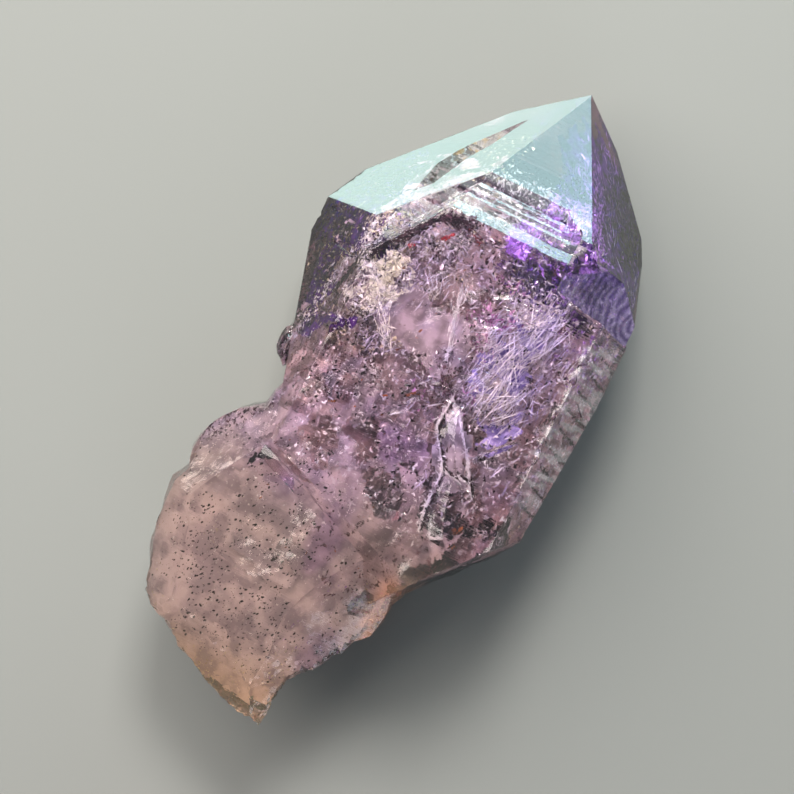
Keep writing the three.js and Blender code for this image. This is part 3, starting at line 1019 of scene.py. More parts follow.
dark_glitter_painted_shade = scatter("dark_splinters_painted_shade", splinter_model, (
    swarm(31, (-15, -25, 3), (1, -16, 9), 900, (0.3, 1.5), 0.45, (0.2, 1), 1.6, clots=0.05)
    + swarm(32, (-3, -42, 2), (9, -17, 9), 2600, (0.3, 1.4), 0.45, (0.1, 1), 1.6, clots=0.05)
    + swarm(33, (-19, -45, 0), (-7, -27, 9), 2800, (0.3, 1.2), 0.45, (0.1, 1), 1.3, clots=0.0)
    + swarm(34, (-7, -64, -3), (11, -42, 8), 4000, (0.2, 1.1), 0.5, (0.2, 1), 1.3, clots=-0.1)
    + swarm(35, (-1, -75, -2), (7, -54, 7), 1500, (0.2, 0.8), 0.45, (0.2, 1))
    + swarm(36, (-21, -36, -8), (-12, -14, 4), 4200, (0.3, 1.5), 0.45, (0, 0.3), clots=-0.2)
    # The next two seams are painted shade: the dark lines under the steps
    + seam(
        37, (-12.0, -24.4, 10.9), (-8.4, -19.6, 11.2), (0.22, 0.2, 0.4), 420, (0.4, 1.6),
        0.35, (0, 0.5), 0.35,
    )
    + seam(
        38, (-8.8, -19.9, 11.2), (-5.4, -19.5, 11.4), (0.5, 0.35, 0.4), 420, (0.3, 1.2), 0.4, (0, 0.5), 0.8,
    )
    + seam(
        39, (-15.4, -31.8, 8.6), (-14.3, -27.8, 10.6), (0.15, 0.3, 0.5), 500, (0.4, 1.4), 0.4, (0, 0.1), 0.3,
    )
    + seam(
        40, (-14.0, -27.2, 10.4), (-12.8, -24.4, 10.7), (0.25, 0.3, 0.4), 500, (0.4, 1.4),
        0.4, (0, 0.1), 0.4,
    )
    + seam(56, (1.0, -39.5, 11), (4.4, -44.6, 11), (0.3, 0.5, 0.5), 110, (0.3, 1.2), 0.3, (0, 0.8), 0.4)
    + seam(
        57, (-1.8, -32.5, 10.6), (1.4, -39.5, 10.6), (0.5, 0.6, 0.5), 200, (0.3, 1.2), 0.35, (0.1, 0.9), 0.7,
    )
    # The next two rims are painted shadow beside the kinked crack
    + rim(120, [(x + SHADOW_SIDE, y) for x, y in KINKS], (0, 0.3))
    + rim(130, [(x, y + SHADOW_SIDE) for x, y in KINK_BRANCH], (0, 0.3))
    + swarm(88, (-15, -52, 7), (14, -19, 11.6), 4200, (0.25, 1.0), 0.45, (0, 0.15), 1.8, clots=0.05)
    + swarm(81, (-20.5, -37, 0), (-14, -20, 9.5), 5000, (0.15, 0.9), 0.4, (0, 0.6), clots=-0.25)
    + seam(66, (-21, -53.5, 3), (-15.2, -45.6, 4), (0.7, 0.7, 1.6), 900, (0.2, 0.9), 0.45, (0, 0.6), 1.0)
    + crack_row()
    + seam(67, (-16.8, -44, 2), (-18.6, -36, 1), (0.5, 0.8, 1.4), 400, (0.2, 0.9), 0.45, (0, 0.6), 1.0)
))
# Dark cracks and painted shade: from blackish brown to a dusty mauve, without shine
dark_glitter_painted_shade.data.materials.append(foil("dark_crack_painted_shade", "#1b1016", "#7d5a60", 0.2, 0.25, 0.05))

# %% [markdown]
# ### Iron-stained splinters
# Water that carried iron left a film in the cracks that reach the outside. These lie near the
# skin on the left, along the right edge, around the pit and in the broken end.

# %% Iron-stained splinters
warm_glitter = scatter("iron_stained_splinters", splinter_model, (
    swarm(41, (-17, -38, 3), (-6, -20, 11), 2200, (0.2, 0.9), 0.45, (0.3, 1), 1.4, clots=0.0)
    + swarm(42, (-19, -42, -4), (-11, -20, 6), 2200, (0.2, 1.0), 0.4, (0, 0.8), clots=0.0)
    + swarm(43, (-11, -80, -1), (1, -69, 5), 1600, (0.1, 0.6), 0.5, (0.3, 1))
    + swarm(44, (9, -54, -6), (16, -20, 8), 2000, (0.2, 1.2), 0.3, (0.2, 1), clots=0.05)
    + swarm(45, (-13, -17, 1), (-3, -5, 7.5), 1500, (0.2, 0.9), 0.4, (0.4, 1))
    + swarm(46, (-22, -74, -4), (-14, -48, 5), 1800, (0.12, 0.5), 0.5, (0.2, 1))
    + swarm(47, (-13, -26, 6), (3, -17, 12), 1300, (0.15, 0.7), 0.45, (0.2, 1), 1.4, clots=0.0)
    + swarm(48, (0, -68, -2), (6.5, -57, 7), 1300, (0.12, 0.6), 0.5, (0.4, 1), 1.3)
    + swarm(82, (-20.5, -38, 0), (-14, -21, 9.5), 3000, (0.12, 0.8), 0.4, (0.1, 0.9), clots=-0.1)
    + swarm(50, (-15.4, -26, 7), (-11.5, -19, 10.8), 1400, (0.2, 0.9), 0.5, (0.7, 1), 1.8, clots=-0.2)
    + seam(68, (-19.6, -69.5, 0), (-9, -75.8, 0.5), (0.7, 0.7, 1.4), 500, (0.12, 0.5), 0.5, (0.5, 1), 1.0)
))
# An iron film in a crack: rust brown in the shade and pale gold in the light
warm_glitter.data.materials.append(foil("iron_stained_fracture", "#5d3320", "#fdf6d2", 0.3, 0.22, 0.3))

# %% [markdown]
# ### Rosy glitter and painted red glints
# An iron film behind violet quartz looks rosy. In three places under the steps, small red flakes
# are painted red glints.

# %% Rosy glitter and painted red glints
rosy_glitter = scatter("rosy_glitter", splinter_model, (
    swarm(74, (-1.5, -33, 8), (4.5, -22, 11.6), 900, (0.2, 1.0), 0.4, (0, 1), 1.6, clots=-0.05)
    + swarm(75, (-4, -41, 7), (3.5, -33, 11.4), 500, (0.2, 1.0), 0.4, (0.2, 1), 1.6, clots=0.0)
    + swarm(85, (0.5, -66, -1), (6.5, -57, 5.5), 1500, (0.1, 0.5), 0.5, (0.4, 1), clots=-0.2)
    + swarm(76, (1, -17.5, 7), (6.5, -12, 10.6), 260, (0.2, 0.9), 0.4, (0.4, 1), 1.6)
))
# An iron film seen through violet: mauve to pale pink
rosy_glitter.data.materials.append(foil("rosy_fracture", "#8f4486", "#ffc4f2", 0.2, 0.25))

# Small red flakes in three places under the steps: painted red glints
painted_red_glints = scatter("painted_red_glints", splinter_model, (
    seam(77, (-7.6, -22.1, 11.3), (-6.7, -21.2, 11.3), (0.1, 0.1, 0.1), 60, (0.3, 0.8), 0.4, (0.3, 1), 0.3)
    + seam(
        78, (-10.6, -24.4, 11.0), (-9.9, -23.9, 11.0), (0.1, 0.1, 0.1), 30, (0.2, 0.6), 0.4, (0.3, 1), 0.3,
    )
    + seam(79, (-5.6, -19.9, 11.0), (-3.4, -20.6, 11.0), (0.3, 0.2, 0.2), 60, (0.2, 0.7), 0.4, (0, 0.5), 0.6)
))
# Painted red glints: deep red to scarlet, without metal
painted_red_glints.data.materials.append(foil("painted_red_glint_finish", "#4a0a12", "#dd2430", 0.0, 0.3))

# %% [markdown]
# ### Cream glitter and painted glints
# The broad patch at the upper left is painted cream and pale yellow, a painted patch of glints.
# Small cracks at the steps and in the flange of the lump are coated with clay.

# %% Cream glitter and painted glints
cream_glitter_and_painted_glints = scatter("cream_glitter_and_painted_glints", splinter_model, (
    # The broad patch at the upper left: painted yellow-white glints
    swarm(49, (-14.8, -33.8, 9.5), (-8.4, -25.6, 11.9), 2800, (0.25, 1.2), 0.5, (0.4, 1), 2.0, clots=-0.05)
    + seam(
        58, (-13.4, -27.6, 11.1), (-7.6, -35.2, 11.1), (0.35, 0.35, 0.25), 200, (0.5, 2.4),
        0.08, (0.6, 1), 0.2,
    )
    + swarm(69, (2.8, -66, 1), (5.8, -58.5, 6.5), 900, (0.15, 0.7), 0.5, (0.4, 1), 1.6)
    + swarm(70, (-9.5, -21, 9), (-6, -16.8, 11), 500, (0.2, 0.8), 0.5, (0.3, 1), 1.6)
))
# Cream and matt, so it shows from any side: clay in the small cracks, painted glints in the broad patch
cream_glitter_and_painted_glints.data.materials.append(foil("cream_fracture_and_painted_glints", "#cfcb9c", "#fffff0", 0.0, 0.25))

# %% [markdown]
# ### Right side
# The right side of the prism is bruised. One dense layer of short cracks lies just under it.

# %% Right side
right_side_glitter = scatter("right_side_glitter", splinter_model, (
    seam(71, (13.6, -23.5, 6.8), (13.0, -45, 6.8), (0.9, 1.0, 2.6), 3400, (0.15, 0.8), 0.4, (0, 1), 3.0)
))
# Bruised quartz: frosted, in every shade from slate to white
right_side_glitter.data.materials.append(foil("frosted_fracture", "#6d6668", "#fbfbff", 0.2, 0.3))

# %% [markdown]
# ## Specks and rust
# The lump and the lower body are peppered with black dash-like specks, all slanting the same
# way, and here and there is a stain of rust. They lie close under the skin, so that they show
# crisp and dark.

# %% Draw specks
SPECK_SLANT = (0.62, 0.75, 0.2)
SPECK_STRAY = 0.35
SPECK_DEPTH = (0.05, 0.6)
SPECK_CLOT = 5


def specks(seed, low, high, count, length, slim, clots):
    draw = random.Random(seed)
    found = []
    while len(found) < count:
        x, y = (draw.uniform(a, b) for a, b in zip(low, high))
        hit = skin_over(x, y)
        if hit is None or noise.noise(Vector((x, y, seed)) / SPECK_CLOT) < clots:
            continue
        reach = length[0] + (length[1] - length[0]) * draw.random() ** 3
        spot = hit - UPWARD * (draw.uniform(*SPECK_DEPTH) + reach / 2) * MM
        if depth_at(spot) < CLEARANCE + reach / 2:
            continue
        along = Vector(SPECK_SLANT) + random_direction(draw, 1) * SPECK_STRAY
        scale = (reach / 2, reach / 2 * slim * draw.uniform(*WIDTH_SPREAD), reach / 2 * slim)
        found.append((laid(spot, random_direction(draw, 2), along, scale), draw.random()))
    return found


# %% [markdown]
# A larger blot isn't one plate but a heap of crumbs, thick in the middle and loose at the rim.
# A row gives its place, its length, its width and its tone.

# %% Draw blots
CRUMBS = 16
CRUMB_STRAY = 0.8
CRUMB_TURN = 0.4
CRUMB_SIDE = (0.1, 0.4)
CRUMB_THICKNESS = 0.2
CRUMB_TONES = (-0.35, 0.35)


def blots(rows):
    draw = random.Random(len(rows))
    found = []
    for x, y, long, wide, tone in rows:
        hit = skin_over(x, y)
        for _ in range(CRUMBS):
            stray = random_direction(draw, 1) * draw.uniform(0, CRUMB_STRAY)
            ahead = Vector(SPECK_SLANT) + random_direction(draw, 1) * CRUMB_TURN
            spot = hit + (ahead * stray.x * long + stray * wide - UPWARD * (CLEARANCE + wide)) * MM
            size = (
                long * draw.uniform(*CRUMB_SIDE), wide * draw.uniform(*CRUMB_SIDE),
                wide * CRUMB_THICKNESS,
            )
            if depth_at(spot) > CLEARANCE:
                found.append((laid(spot, UPWARD, ahead, size), tone + draw.uniform(*CRUMB_TONES)))
    return found


# %% [markdown]
# The specks are goethite, an iron mineral that looks black, and the stains are rust. Both are
# dull, so they stay dark from every side.

# %% Scatter specks and rust
black_specks = scatter("black_specks", plate_model, (
    specks(51, (-21.5, -74), (2, -50), 1500, (0.1, 0.42), 0.5, -0.12)
    + specks(52, (-16, -52), (6, -36), 320, (0.14, 0.55), 0.4, -0.05)
    + specks(53, (-6, -40), (12, -20), 60, (0.15, 0.5), 0.4, -0.05)
    + blots([
        (-14.6, -51.5, 1.5, 0.9, 0), (-14.3, -51.2, 0.9, 0.7, 0), (-8.5, -61.1, 0.3, 0.5, 1),
        (-14.9, -56.6, 0.35, 0.2, 0.2), (-5.1, -64.8, 0.45, 0.2, 0.1), (-14.3, -64, 0.35, 0.2, 0.3),
        (-14.8, -66.1, 0.35, 0.2, 0.2), (-15.2, -67.9, 0.3, 0.2, 0.4), (-11.2, -52.9, 0.6, 0.1, 0.2),
        (-10.2, -52.8, 0.5, 0.1, 0.2),
    ])
))
# Goethite: brownish black, without a highlight
black_specks.data.materials.append(foil("goethite_speck", "#080505", "#2a181a", 0.0, 0.45, 0.0))

rust = scatter("rust_flecks", plate_model, (
    specks(61, (-10, -44), (0, -32), 16, (0.2, 0.7), 0.35, -1)
    + specks(62, (-15, -60), (8, -44), 22, (0.2, 0.6), 0.35, -1)
    + specks(63, (-14, -30), (2, -18), 26, (0.2, 0.6), 0.3, -1)
    + blots([
        (-3.5, -38.8, 0.8, 0.35, 0.4), (-3.0, -38.4, 0.5, 0.3, 0.2), (-6.5, -34.8, 0.6, 0.15, 0.5),
        (-10.3, -42.9, 0.5, 0.3, 0.5), (7.6, -49.7, 1.1, 0.6, 0.35), (7.9, -51.3, 0.8, 0.5, 0.2),
        # This last blot, at the right edge, is a painted orange glint, not rust
        (13.2, -17.9, 0.5, 0.15, 0.9),
    ])
))
# Rust: dark to orange brown, dull
rust.data.materials.append(foil("rust_stain", "#2c1a10", "#b0683a", 0.0, 0.45, 0.1))

# %% [markdown]
# ## Fracture sheets
# The widest cracks run through the whole crystal. Each is a crumpled sheet, like cellophane,
# that mirrors light in threads and flashes. It starts as a flat grid, gets its swells and
# creases from the Displace modifier, and loses its rim and what lies outside the crystal or
# in a hole. It also ends a little way from the point, which is clear.

# %% Crumple a sheet
SHEET_NET = 0.36
SHEET_CLEARANCE = 0.5
SHEETS_START = -15.5


def fracture(centre, normal, along, size, creases, holes, hole_size=4.0, shift=0.0, reach=SHEETS_START):
    bpy.ops.object.select_all(action="DESELECT")
    cuts = [int(side / SHEET_NET) for side in size]
    bpy.ops.mesh.primitive_grid_add(x_subdivisions=cuts[0], y_subdivisions=cuts[1], size=1)
    sheet = bpy.context.object
    # 0 at the middle of the grid and 1 at the middle of each side
    from_middle = [2 * math.hypot(vertex.co.x, vertex.co.y) for vertex in sheet.data.vertices]
    sheet.data.transform(laid(place(*centre), Vector(normal), Vector(along), (*size, 1)))
    for basis, crease, depth, turn in creases:
        relief(sheet, "", basis, crease, depth, turn)
    bpy.ops.object.mode_set(mode="EDIT")
    bpy.ops.mesh.select_mode(type="VERT")
    bpy.ops.mesh.select_all(action="DESELECT")
    bpy.ops.object.mode_set(mode="OBJECT")
    for vertex, out in zip(sheet.data.vertices, from_middle):
        pattern = noise.noise(vertex.co / (hole_size * MM) + Vector((shift, 0, 0)))
        solid = pattern > holes and out + pattern < 1 and vertex.co.y < place(0, reach, 0).y
        vertex.select = not (solid and depth_at(vertex.co) > SHEET_CLEARANCE)
    bpy.ops.object.mode_set(mode="EDIT")
    bpy.ops.mesh.delete(type="VERT")
    bpy.ops.object.mode_set(mode="OBJECT")
    return sheet


# %% [markdown]
# Sheets of one kind are joined to one piece, and Solidify gives them a thickness, so that they
# are closed thin bodies and not bare faces.

# %% Join sheets and give them a thickness
SHEET_THICKNESS = 0.03
SHARPEST_CREASE = math.radians(30)


def join(pieces, name):
    bpy.ops.object.select_all(action="DESELECT")
    for piece in pieces:
        piece.select_set(True)
    bpy.context.view_layer.objects.active = pieces[0]
    bpy.ops.object.join()
    joined = bpy.context.object
    joined.name = name
    return joined


def one_piece(name, sheets):
    piece = join(sheets, name)
    thick = piece.modifiers.new("thickness", "SOLIDIFY")
    thick.thickness = SHEET_THICKNESS * MM
    bpy.ops.object.modifier_apply(modifier=thick.name)
    bpy.ops.object.shade_smooth_by_angle(angle=SHARPEST_CREASE)
    print(name, len(piece.data.polygons), "faces")
    return piece


# %% [markdown]
# A crack is never open to the same width all over, so its shade is mottled. The size of a
# blotch is given in millimetres.

# %% A finish for sheets
MOTTLED = (0.4, 0.6)


def sheet_finish(name, dark, light, metallic, roughness, spot_size, shine=0.5):
    material, tree = new_material(name)
    spots = add_node(tree, "TexNoise", {
        "Vector": millimetres(tree), "Scale": 1 / spot_size, "Detail": 5.0,
    })
    share = add_node(tree, "MapRange", {
        "Value": spots.outputs["Fac"], "From Min": MOTTLED[0], "From Max": MOTTLED[1],
    })
    shade = add_node(tree, "Mix", {
        FACTOR: share.outputs[0], FIRST: colour(dark), SECOND: colour(light),
    }, data_type="RGBA")
    surface = add_node(tree, "BsdfPrincipled", {
        "Base Color": shade.outputs[MIXED], "Metallic": metallic, "Roughness": roughness,
        "Specular IOR Level": shine,
    })
    add_node(tree, "OutputMaterial", {"Surface": surface.outputs[0]})
    return material


# %% [markdown]
# ### Crumpled fractures
# Ten sheets in three layers fill the body. They swell over 7 mm, crease every 2 to 3 mm and
# crackle finely, as cellophane does. Where each lies is drawn at random within its layer.

# %% Crumpled fractures
CELLOPHANE = [
    ("BLENDER_ORIGINAL", (7, 7, 7), 3.0, (0, 0, 0)),
    ("VORONOI_F2_F1", (2.2, 3.0, 2.2), 0.9, (0, 0, 0)),
    ("VORONOI_CRACKLE", (1.3, 1.3, 1.3), 0.3, (0, 0, 0)),
]
SHEET_SEED = 77
SMALL_HOLE = 3.0
LARGEST_SHIFT = 50


def sheets(count, low, high, size, creases, holes, flatness, seed):
    draw = random.Random(seed)
    made = []
    for _ in range(count):
        centre = tuple(draw.uniform(a, b) for a, b in zip(low, high))
        normal = random_direction(draw, flatness)
        along = random_direction(draw, 1)
        shift = draw.uniform(0, LARGEST_SHIFT)
        made.append(fracture(centre, normal, along, size, creases, holes, SMALL_HOLE, shift))
    return made


cellophane = one_piece("crumpled_fractures", (
    sheets(4, (-11, -34, 3), (8, -20, 8), (15, 12), CELLOPHANE, 0.02, 1.6, SHEET_SEED)
    + sheets(3, (-11, -48, 0), (8, -34, 7), (15, 12), CELLOPHANE, 0.02, 1.4, SHEET_SEED + 1)
    + sheets(3, (-12, -45, -8), (8, -15, 0), (20, 16), CELLOPHANE, -0.05, 1.4, SHEET_SEED + 2)
))
# Open cracks: foil-like, with silvery threads on creases and a dusky mauve between them
cellophane.data.materials.append(sheet_finish("crumpled_fracture", "#7d6672", "#fff6f8", 0.4, 0.16, 2.5))

# %% [markdown]
# ### Cloudy planes
# Two veils run through most of the body, one above the other. They close the view to the floor
# without a hard edge and give the glitter its warm grey ground.

# %% Cloudy planes
CLOUDY = [
    ("BLENDER_ORIGINAL", (6, 6, 6), 2.5, (0, 0, 0)),
    ("VORONOI_F2_F1", (1.8, 2.4, 1.8), 1.0, (0, 0, 0)),
    ("VORONOI_F1", (0.8, 1.0, 0.8), 0.5, (0, 0, 0)),
]

cloudy = one_piece("cloudy_planes", [
    fracture((-1.4, -33.5, 2.0), (0.1, -0.1, 1), (1, 0, 0), (33, 36), CLOUDY, -0.35, 4.0, 1),
    fracture((-2, -40, -3.5), (-0.1, 0.15, 1), (1, 0.3, 0), (42, 50), CLOUDY, -0.3, 4.0, 7),
])
# A healed crack: milky and matt, from grey brown to a pale rose
cloudy.data.materials.append(sheet_finish("cloudy_fracture", "#937e80", "#efdedc", 0.0, 0.45, 3.0, 0.2))

# %% [markdown]
# ### Misty planes
# The lump is hazy throughout. Mist in a volume would be truer and takes long to render, so
# gently rolling sheets without holes stand in for it.

# %% Misty planes
MISTY = [
    ("BLENDER_ORIGINAL", (9, 9, 9), 2.0, (0, 0, 0)),
    ("BLENDER_ORIGINAL", (1.6, 1.6, 1.6), 0.5, (0, 0, 0)),
]

misty = one_piece("misty_planes", [
    fracture((-10.5, -66.5, 3.2), (0.0, -0.22, 1), (1, 0, 0), (38, 42), MISTY, -1, 5.0, 5),
    fracture((-9, -65, -1.5), (0.1, 0.2, 1), (1, 0, 0), (38, 36), MISTY, -1, 5.0, 9),
    fracture((-16, -50.5, 4.0), (0, 0, 1), (1, 0, 0), (16, 15), MISTY, -1, 5.0, 12),
    fracture((-11, -59.0, 5.6), (0.05, -0.1, 1), (1, 0, 0), (11, 9), MISTY, -1, 5.0, 15),
    fracture((3.2, -62.0, 1.8), (0.3, -0.2, 1), (0, 1, 0), (10, 6), MISTY, -1, 5.0, 18),
])
# Haze of tiny cracks: an even, dull lilac grey that keeps the specks crisp
misty.data.materials.append(sheet_finish("misty_fracture", "#9a8e97", "#cfc1c4", 0.0, 0.5, 2.5, 0.3))

# %% [markdown]
# ### Smooth planes, painted shade planes and lavender planes
# A clean break is smooth, with fine stripes along the way that it ran. One closes the clear
# window from below, and one fills the kinked crack. Blackish violet sheets are painted shade
# behind the violet edges beside the point, and lavender ones lie under the silky needles.

# %% Smooth planes, painted shade planes and lavender planes
STRIPED = [
    ("BLENDER_ORIGINAL", (4, 4, 4), 1.0, (0, 0, 0)),
    ("BLENDER_ORIGINAL", (0.6, 5, 0.6), 0.25, (0, 0, -0.3)),
    ("VORONOI_F2_F1", (2.5, 5, 2.5), 0.3, (0, 0, -0.3)),
]

smooth_planes = one_piece("smooth_planes", [
    fracture((-5.6, -31.0, 8.9), (-0.2, 0.1, 1), (1, -0.6, 0), (13, 9), STRIPED, -0.6, 4.0, 3),
    fracture((-11.7, -30.0, 7.5), (0.4, 0.1, 1), UP_RIGHT, (9, 5), STRIPED, -0.2, 2.5, 6),
    fracture((1.0, -36.5, 8.0), (0.2, -0.3, 1), UP_RIGHT, (9, 6), STRIPED, -0.1, 2.5, 9),
    fracture((-8.5, -41.0, 7.5), (0.3, 0.25, 1), (1, 0.2, 0), (13, 9), STRIPED, -0.1, 2.5, 14),
    fracture((-3.5, -44.5, 6.6), (-0.1, 0.2, 1), (1, 0.3, 0), (16, 11), STRIPED, -0.15, 2.5, 21),
    fracture(under_skin(3.4, -41.8, 1.4), (0.1, 0.05, 1), (0.45, -0.9, 0), (9.5, 4.4), STRIPED, -1, 2.5, 50),
    fracture((8.0, -42.0, 7.0), (0.2, 0.1, 1), UP_RIGHT, (12, 7), STRIPED, -0.15, 2.5, 28),
])
# A clean break in the shade: smoky grey with a soft shine
smooth_planes.data.materials.append(
    sheet_finish("smooth_fracture", "#74696f", "#aca0a9", 0.1, 0.35, 1.8, 0.3)
)

# Blackish violet sheets behind the right face of the point and the right and left sides of the prism:
# painted shade
painted_shade_planes = one_piece("painted_shade_planes", [
    fracture((6.9, -12.0, 0.5), point_normal(61), (1, -1, 0), (22, 22), CLOUDY, -0.45, 4.0, 41, 0),
    fracture((10.5, -16.0, -2.5), (0.9, 0, 0.4), (0, 1, 0), (16, 14), CLOUDY, -0.45, 4.0, 44),
    fracture((-15.8, -25.0, 4.5), (-0.87, 0, 0.5), (0, 1, 0), (26, 14), CLOUDY, -0.45, 4.0, 47),
])
# Painted shade in the deepest colour: blackish violet, without shine
painted_shade_planes.data.materials.append(sheet_finish("painted_shade_fracture", "#150726", "#4d2370", 0.0, 0.5, 1.4, 0.0))

lavender_planes = one_piece("lavender_planes", [
    fracture((4.6, -30.0, 8.8), (0.2, 0.1, 1), UP_RIGHT, (15, 7), STRIPED, -0.25, 2.5, 31),
    fracture((7.0, -37.5, 8.4), (-0.1, 0.2, 1), UP_RIGHT, (8, 5), STRIPED, -0.2, 2.0, 36),
])
# A crack behind clear violet: lavender blue, a little silky
lavender_planes.data.materials.append(sheet_finish("lavender_fracture", "#5c4a96", "#a99cdf", 0.1, 0.3, 1.6))

# %% [markdown]
# ## Colour zones
# The colour of amethyst lies in zones, deepest near the point. A zone is a lumpy closed body
# with no surface of its own, only volume absorption, so it darkens what is seen through it.
# Any point of it that would leave the crystal is pulled back towards its middle.

# %% Make a colour zone
LUMPINESS = 0.7
PULL_IN = 0.06
MOST_PULLS = 40


def lumpy_body(spot, radii):
    bpy.ops.object.select_all(action="DESELECT")
    bpy.ops.mesh.primitive_ico_sphere_add(subdivisions=4, radius=1)
    body = bpy.context.object
    body.data.transform(laid(place(*spot), Vector((0, 0, 1)), Vector((1, 0, 0)), radii))
    relief(body, "", "BLENDER_ORIGINAL", (2, 2, 2), min(radii) * LUMPINESS)
    for vertex in body.data.vertices:
        pulls = 0
        while depth_at(vertex.co) < CLEARANCE and pulls < MOST_PULLS:
            vertex.co += (place(*spot) - vertex.co) * PULL_IN
            pulls += 1
    return body


def colour_zone(name, bodies, tint, density):
    zone = join(bodies, name)
    material, tree = new_material(name + "_colour")
    depth = add_node(tree, "VolumeAbsorption", {"Color": colour(tint), "Density": density})
    add_node(tree, "OutputMaterial", {"Volume": depth.outputs[0]})
    zone.data.materials.append(material)
    print(name, len(zone.data.polygons), "faces")
    return zone


# %% [markdown]
# Iron in quartz gives violet: a deep one at the steps, under the right face of the point and in
# the left edge, and a pale one in the lump and low in the body. Smoky quartz, coloured by
# natural radiation, darkens the left edge, the narrow waist and the right face of the point.

# %% Violet and smoky zones
# Deep violet: ink-like, so that what lies behind it nearly disappears
deep_violet = colour_zone("deep_violet_zone", [
    lumpy_body((3.2, -21.4, 7.0), (3.4, 2.0, 3.4)),
    lumpy_body((7.6, -13.6, -2.5), (4.5, 6.0, 6.5)),
    lumpy_body((-15.8, -20.5, 0), (3.6, 5.5, 7.0)),
    lumpy_body((9.0, -9.0, -3.0), (4.0, 5.0, 5.5)),
], "#5a2fb0", 340)
# Pale violet: a lilac wash
pale_violet = colour_zone("pale_violet_zone", [
    lumpy_body((0.2, -68.5, 2.4), (3.0, 4.4, 2.4)),
    lumpy_body((-4.5, -56.0, 5.5), (2.0, 5.0, 2.6)),
    lumpy_body((-2.0, -44.0, 7.0), (3.6, 2.6, 2.6)),
], "#a864dc", 130)
# Smoky: a brown shade that mutes what lies behind it
smoky = colour_zone("smoky_zone", [
    lumpy_body((-17.5, -27.5, -0.5), (3.2, 14.0, 8.0)),
    lumpy_body((3.5, -54.0, 0), (6.5, 8.5, 7.5)),
    lumpy_body((10.5, -10.5, -3), (3.5, 5.5, 5.5)),
], "#7a5a60", 170)

# %% [markdown]
# Everything inside moves with the crystal. The two small models have done their work and
# are removed.

# %% Ride on the crystal
inside = (
    pale_glitter, white_glitter, needles, violet_glitter, dark_glitter_painted_shade, warm_glitter, cream_glitter_and_painted_glints,
    right_side_glitter, rosy_glitter, painted_red_glints, black_specks, rust,
    cellophane, cloudy, misty, smooth_planes, painted_shade_planes, lavender_planes, deep_violet, pale_violet, smoky,
)
for piece in inside:
    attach(piece, "root")
for model in (splinter_model, plate_model):
    bpy.data.objects.remove(model)

print("pieces inside the crystal:", len(inside))

# %% [markdown]
# ## Floor, light and camera
# A pale floor and soft light, as in a studio. The floor is a sheet of matt paper, much larger
# than the crystal, at the height of its lowest point. It and the lights are so large that their
# sizes and places are in metres.

# %% Floor
FLOOR_SIDE = 0.9

bpy.ops.object.select_all(action="DESELECT")
bpy.ops.mesh.primitive_plane_add(size=FLOOR_SIDE, location=(0, 0, cad_low.z))
floor = bpy.context.object
floor.name = "floor"
# Matt paper: an even pale grey without any shine
matt, tree = new_material("pale_paper")
surface = add_node(tree, "BsdfPrincipled", {
    "Base Color": colour("#676967"), "Roughness": 0.8, "Specular IOR Level": 0.0,
})
add_node(tree, "OutputMaterial", {"Surface": surface.outputs[0]})
floor.data.materials.append(matt)
print("floor:", FLOOR_SIDE, "m square")

# %% [markdown]
# The faces of the point are mirrors, so each shows what stands in its mirror direction. A large
# light beyond the point is what the front face mirrors, and a small card beside the left face
# is what that one mirrors. The card isn't seen by the camera or through the stone. A light is
# given by how brightly it glows, so that its size can change without changing its brightness.

# %% Lights that the point mirrors
FRONT_FACE = place(0, -8, 6.5)
BEYOND_FRONT = Vector((0.0, 0.31, 0.075))
LEFT_FACE = place(-9.5, -9.5, 5.5)
LEFT_FACE_MIRROR = Vector((-0.535, 0.486, -0.691))
CARD_AWAY = 0.018
CARD_SPREAD = math.radians(80)


def soft_light(name, spot, aim, size, glow, tint, seen=True):
    data = bpy.data.lights.new(name, "AREA")
    data.shape = "RECTANGLE"
    data.size, data.size_y = size
    data.energy = glow * math.pi * size[0] * size[1]
    data.color = colour(tint)[:3]
    light = bpy.data.objects.new(name, data)
    light.location = spot
    light.rotation_euler = (aim - spot).to_track_quat("-Z", "Y").to_euler()
    light.visible_camera = seen
    light.visible_transmission = seen
    bpy.context.scene.collection.objects.link(light)
    print(name, f"{data.energy:.3g}", "W")
    return light


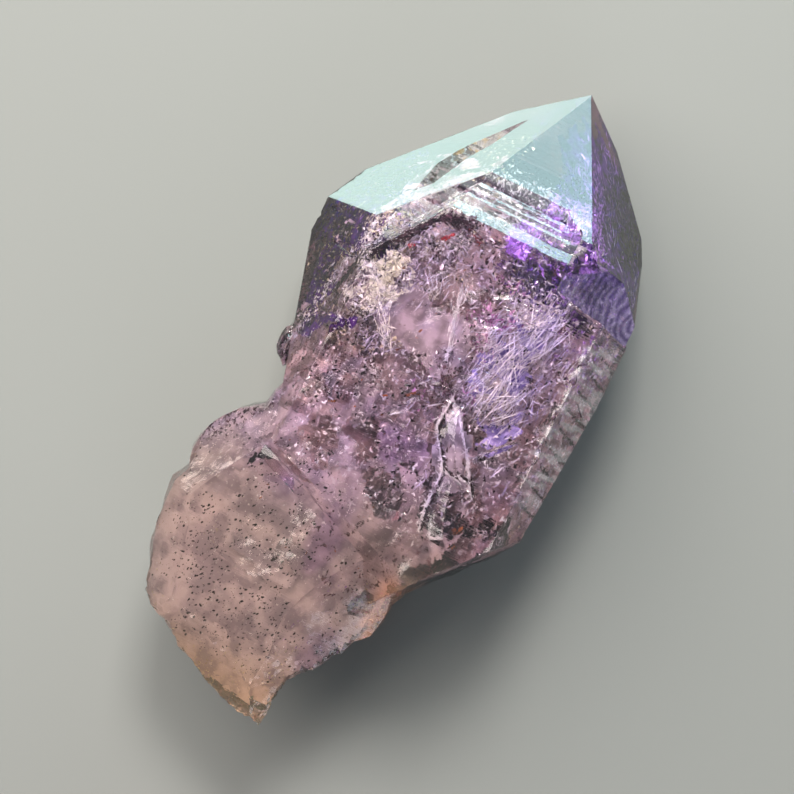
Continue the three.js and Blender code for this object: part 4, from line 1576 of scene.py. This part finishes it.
soft_light("beyond_the_point", FRONT_FACE + BEYOND_FRONT, FRONT_FACE, (0.26, 0.2), 10, "#c6e8ee")
card_spot = LEFT_FACE + LEFT_FACE_MIRROR * CARD_AWAY
card = soft_light("left_card", card_spot, LEFT_FACE, (0.046, 0.026), 0.76, "#d2f3ec", seen=False)
card.data.spread = CARD_SPREAD

# %% [markdown]
# Three more lights show the inside. The key is large and soft and comes from the left, a small
# bright one beyond the point makes the splinters sparkle, and a weak one from the lower right
# fills the shade. The world adds a faint cool sky.

# %% Key, sparkle, fill and sky
MIDDLE = Vector((0, 0, 0))
SKY_STRENGTH = 0.45

soft_light("key", Vector((-0.30, 0.12, 0.30)), MIDDLE, (0.6, 0.6), 7.2, "#fff6ee")
soft_light("sparkle", Vector((-0.10, 0.30, 0.40)), MIDDLE, (0.15, 0.15), 62, "#fffaf4")
soft_light("fill", Vector((0.26, -0.34, 0.26)), MIDDLE, (0.3, 0.3), 3, "#f4f4ff")

world = bpy.data.worlds.new("studio")
bpy.context.scene.world = world
world.use_nodes = True
sky = world.node_tree.nodes["Background"]
sky.inputs["Color"].default_value = colour("#c9d3da")
sky.inputs["Strength"].default_value = SKY_STRENGTH

# %% [markdown]
# The camera looks straight down, and is turned so that the point is at the upper right. It is
# far away with a long lens, so the crystal is hardly foreshortened. The lens follows from the
# scale of the image, nine pixels to a millimetre.

# %% Camera
IMAGE_SIDE = 794
PIXELS_PER_MM = 9.0
SENSOR_WIDTH = 36
CAMERA_HEIGHT = 350
CAMERA_TURN = math.radians(26.5)
FRAME_CENTRE = (-4.4, -39.5)

camera_data = bpy.data.cameras.new("camera")
camera_data.sensor_width = SENSOR_WIDTH
frame_width = IMAGE_SIDE / PIXELS_PER_MM
camera_data.lens = SENSOR_WIDTH * CAMERA_HEIGHT / frame_width
camera_data.clip_start, camera_data.clip_end = 0.01, 10
camera = bpy.data.objects.new("camera", camera_data)
camera.location = place(*FRAME_CENTRE, CAMERA_HEIGHT)
camera.rotation_euler = (0, 0, CAMERA_TURN)
bpy.context.scene.collection.objects.link(camera)
bpy.context.scene.camera = camera
bpy.context.scene.view_settings.view_transform = "Standard"
print("lens", round(camera_data.lens), "mm")
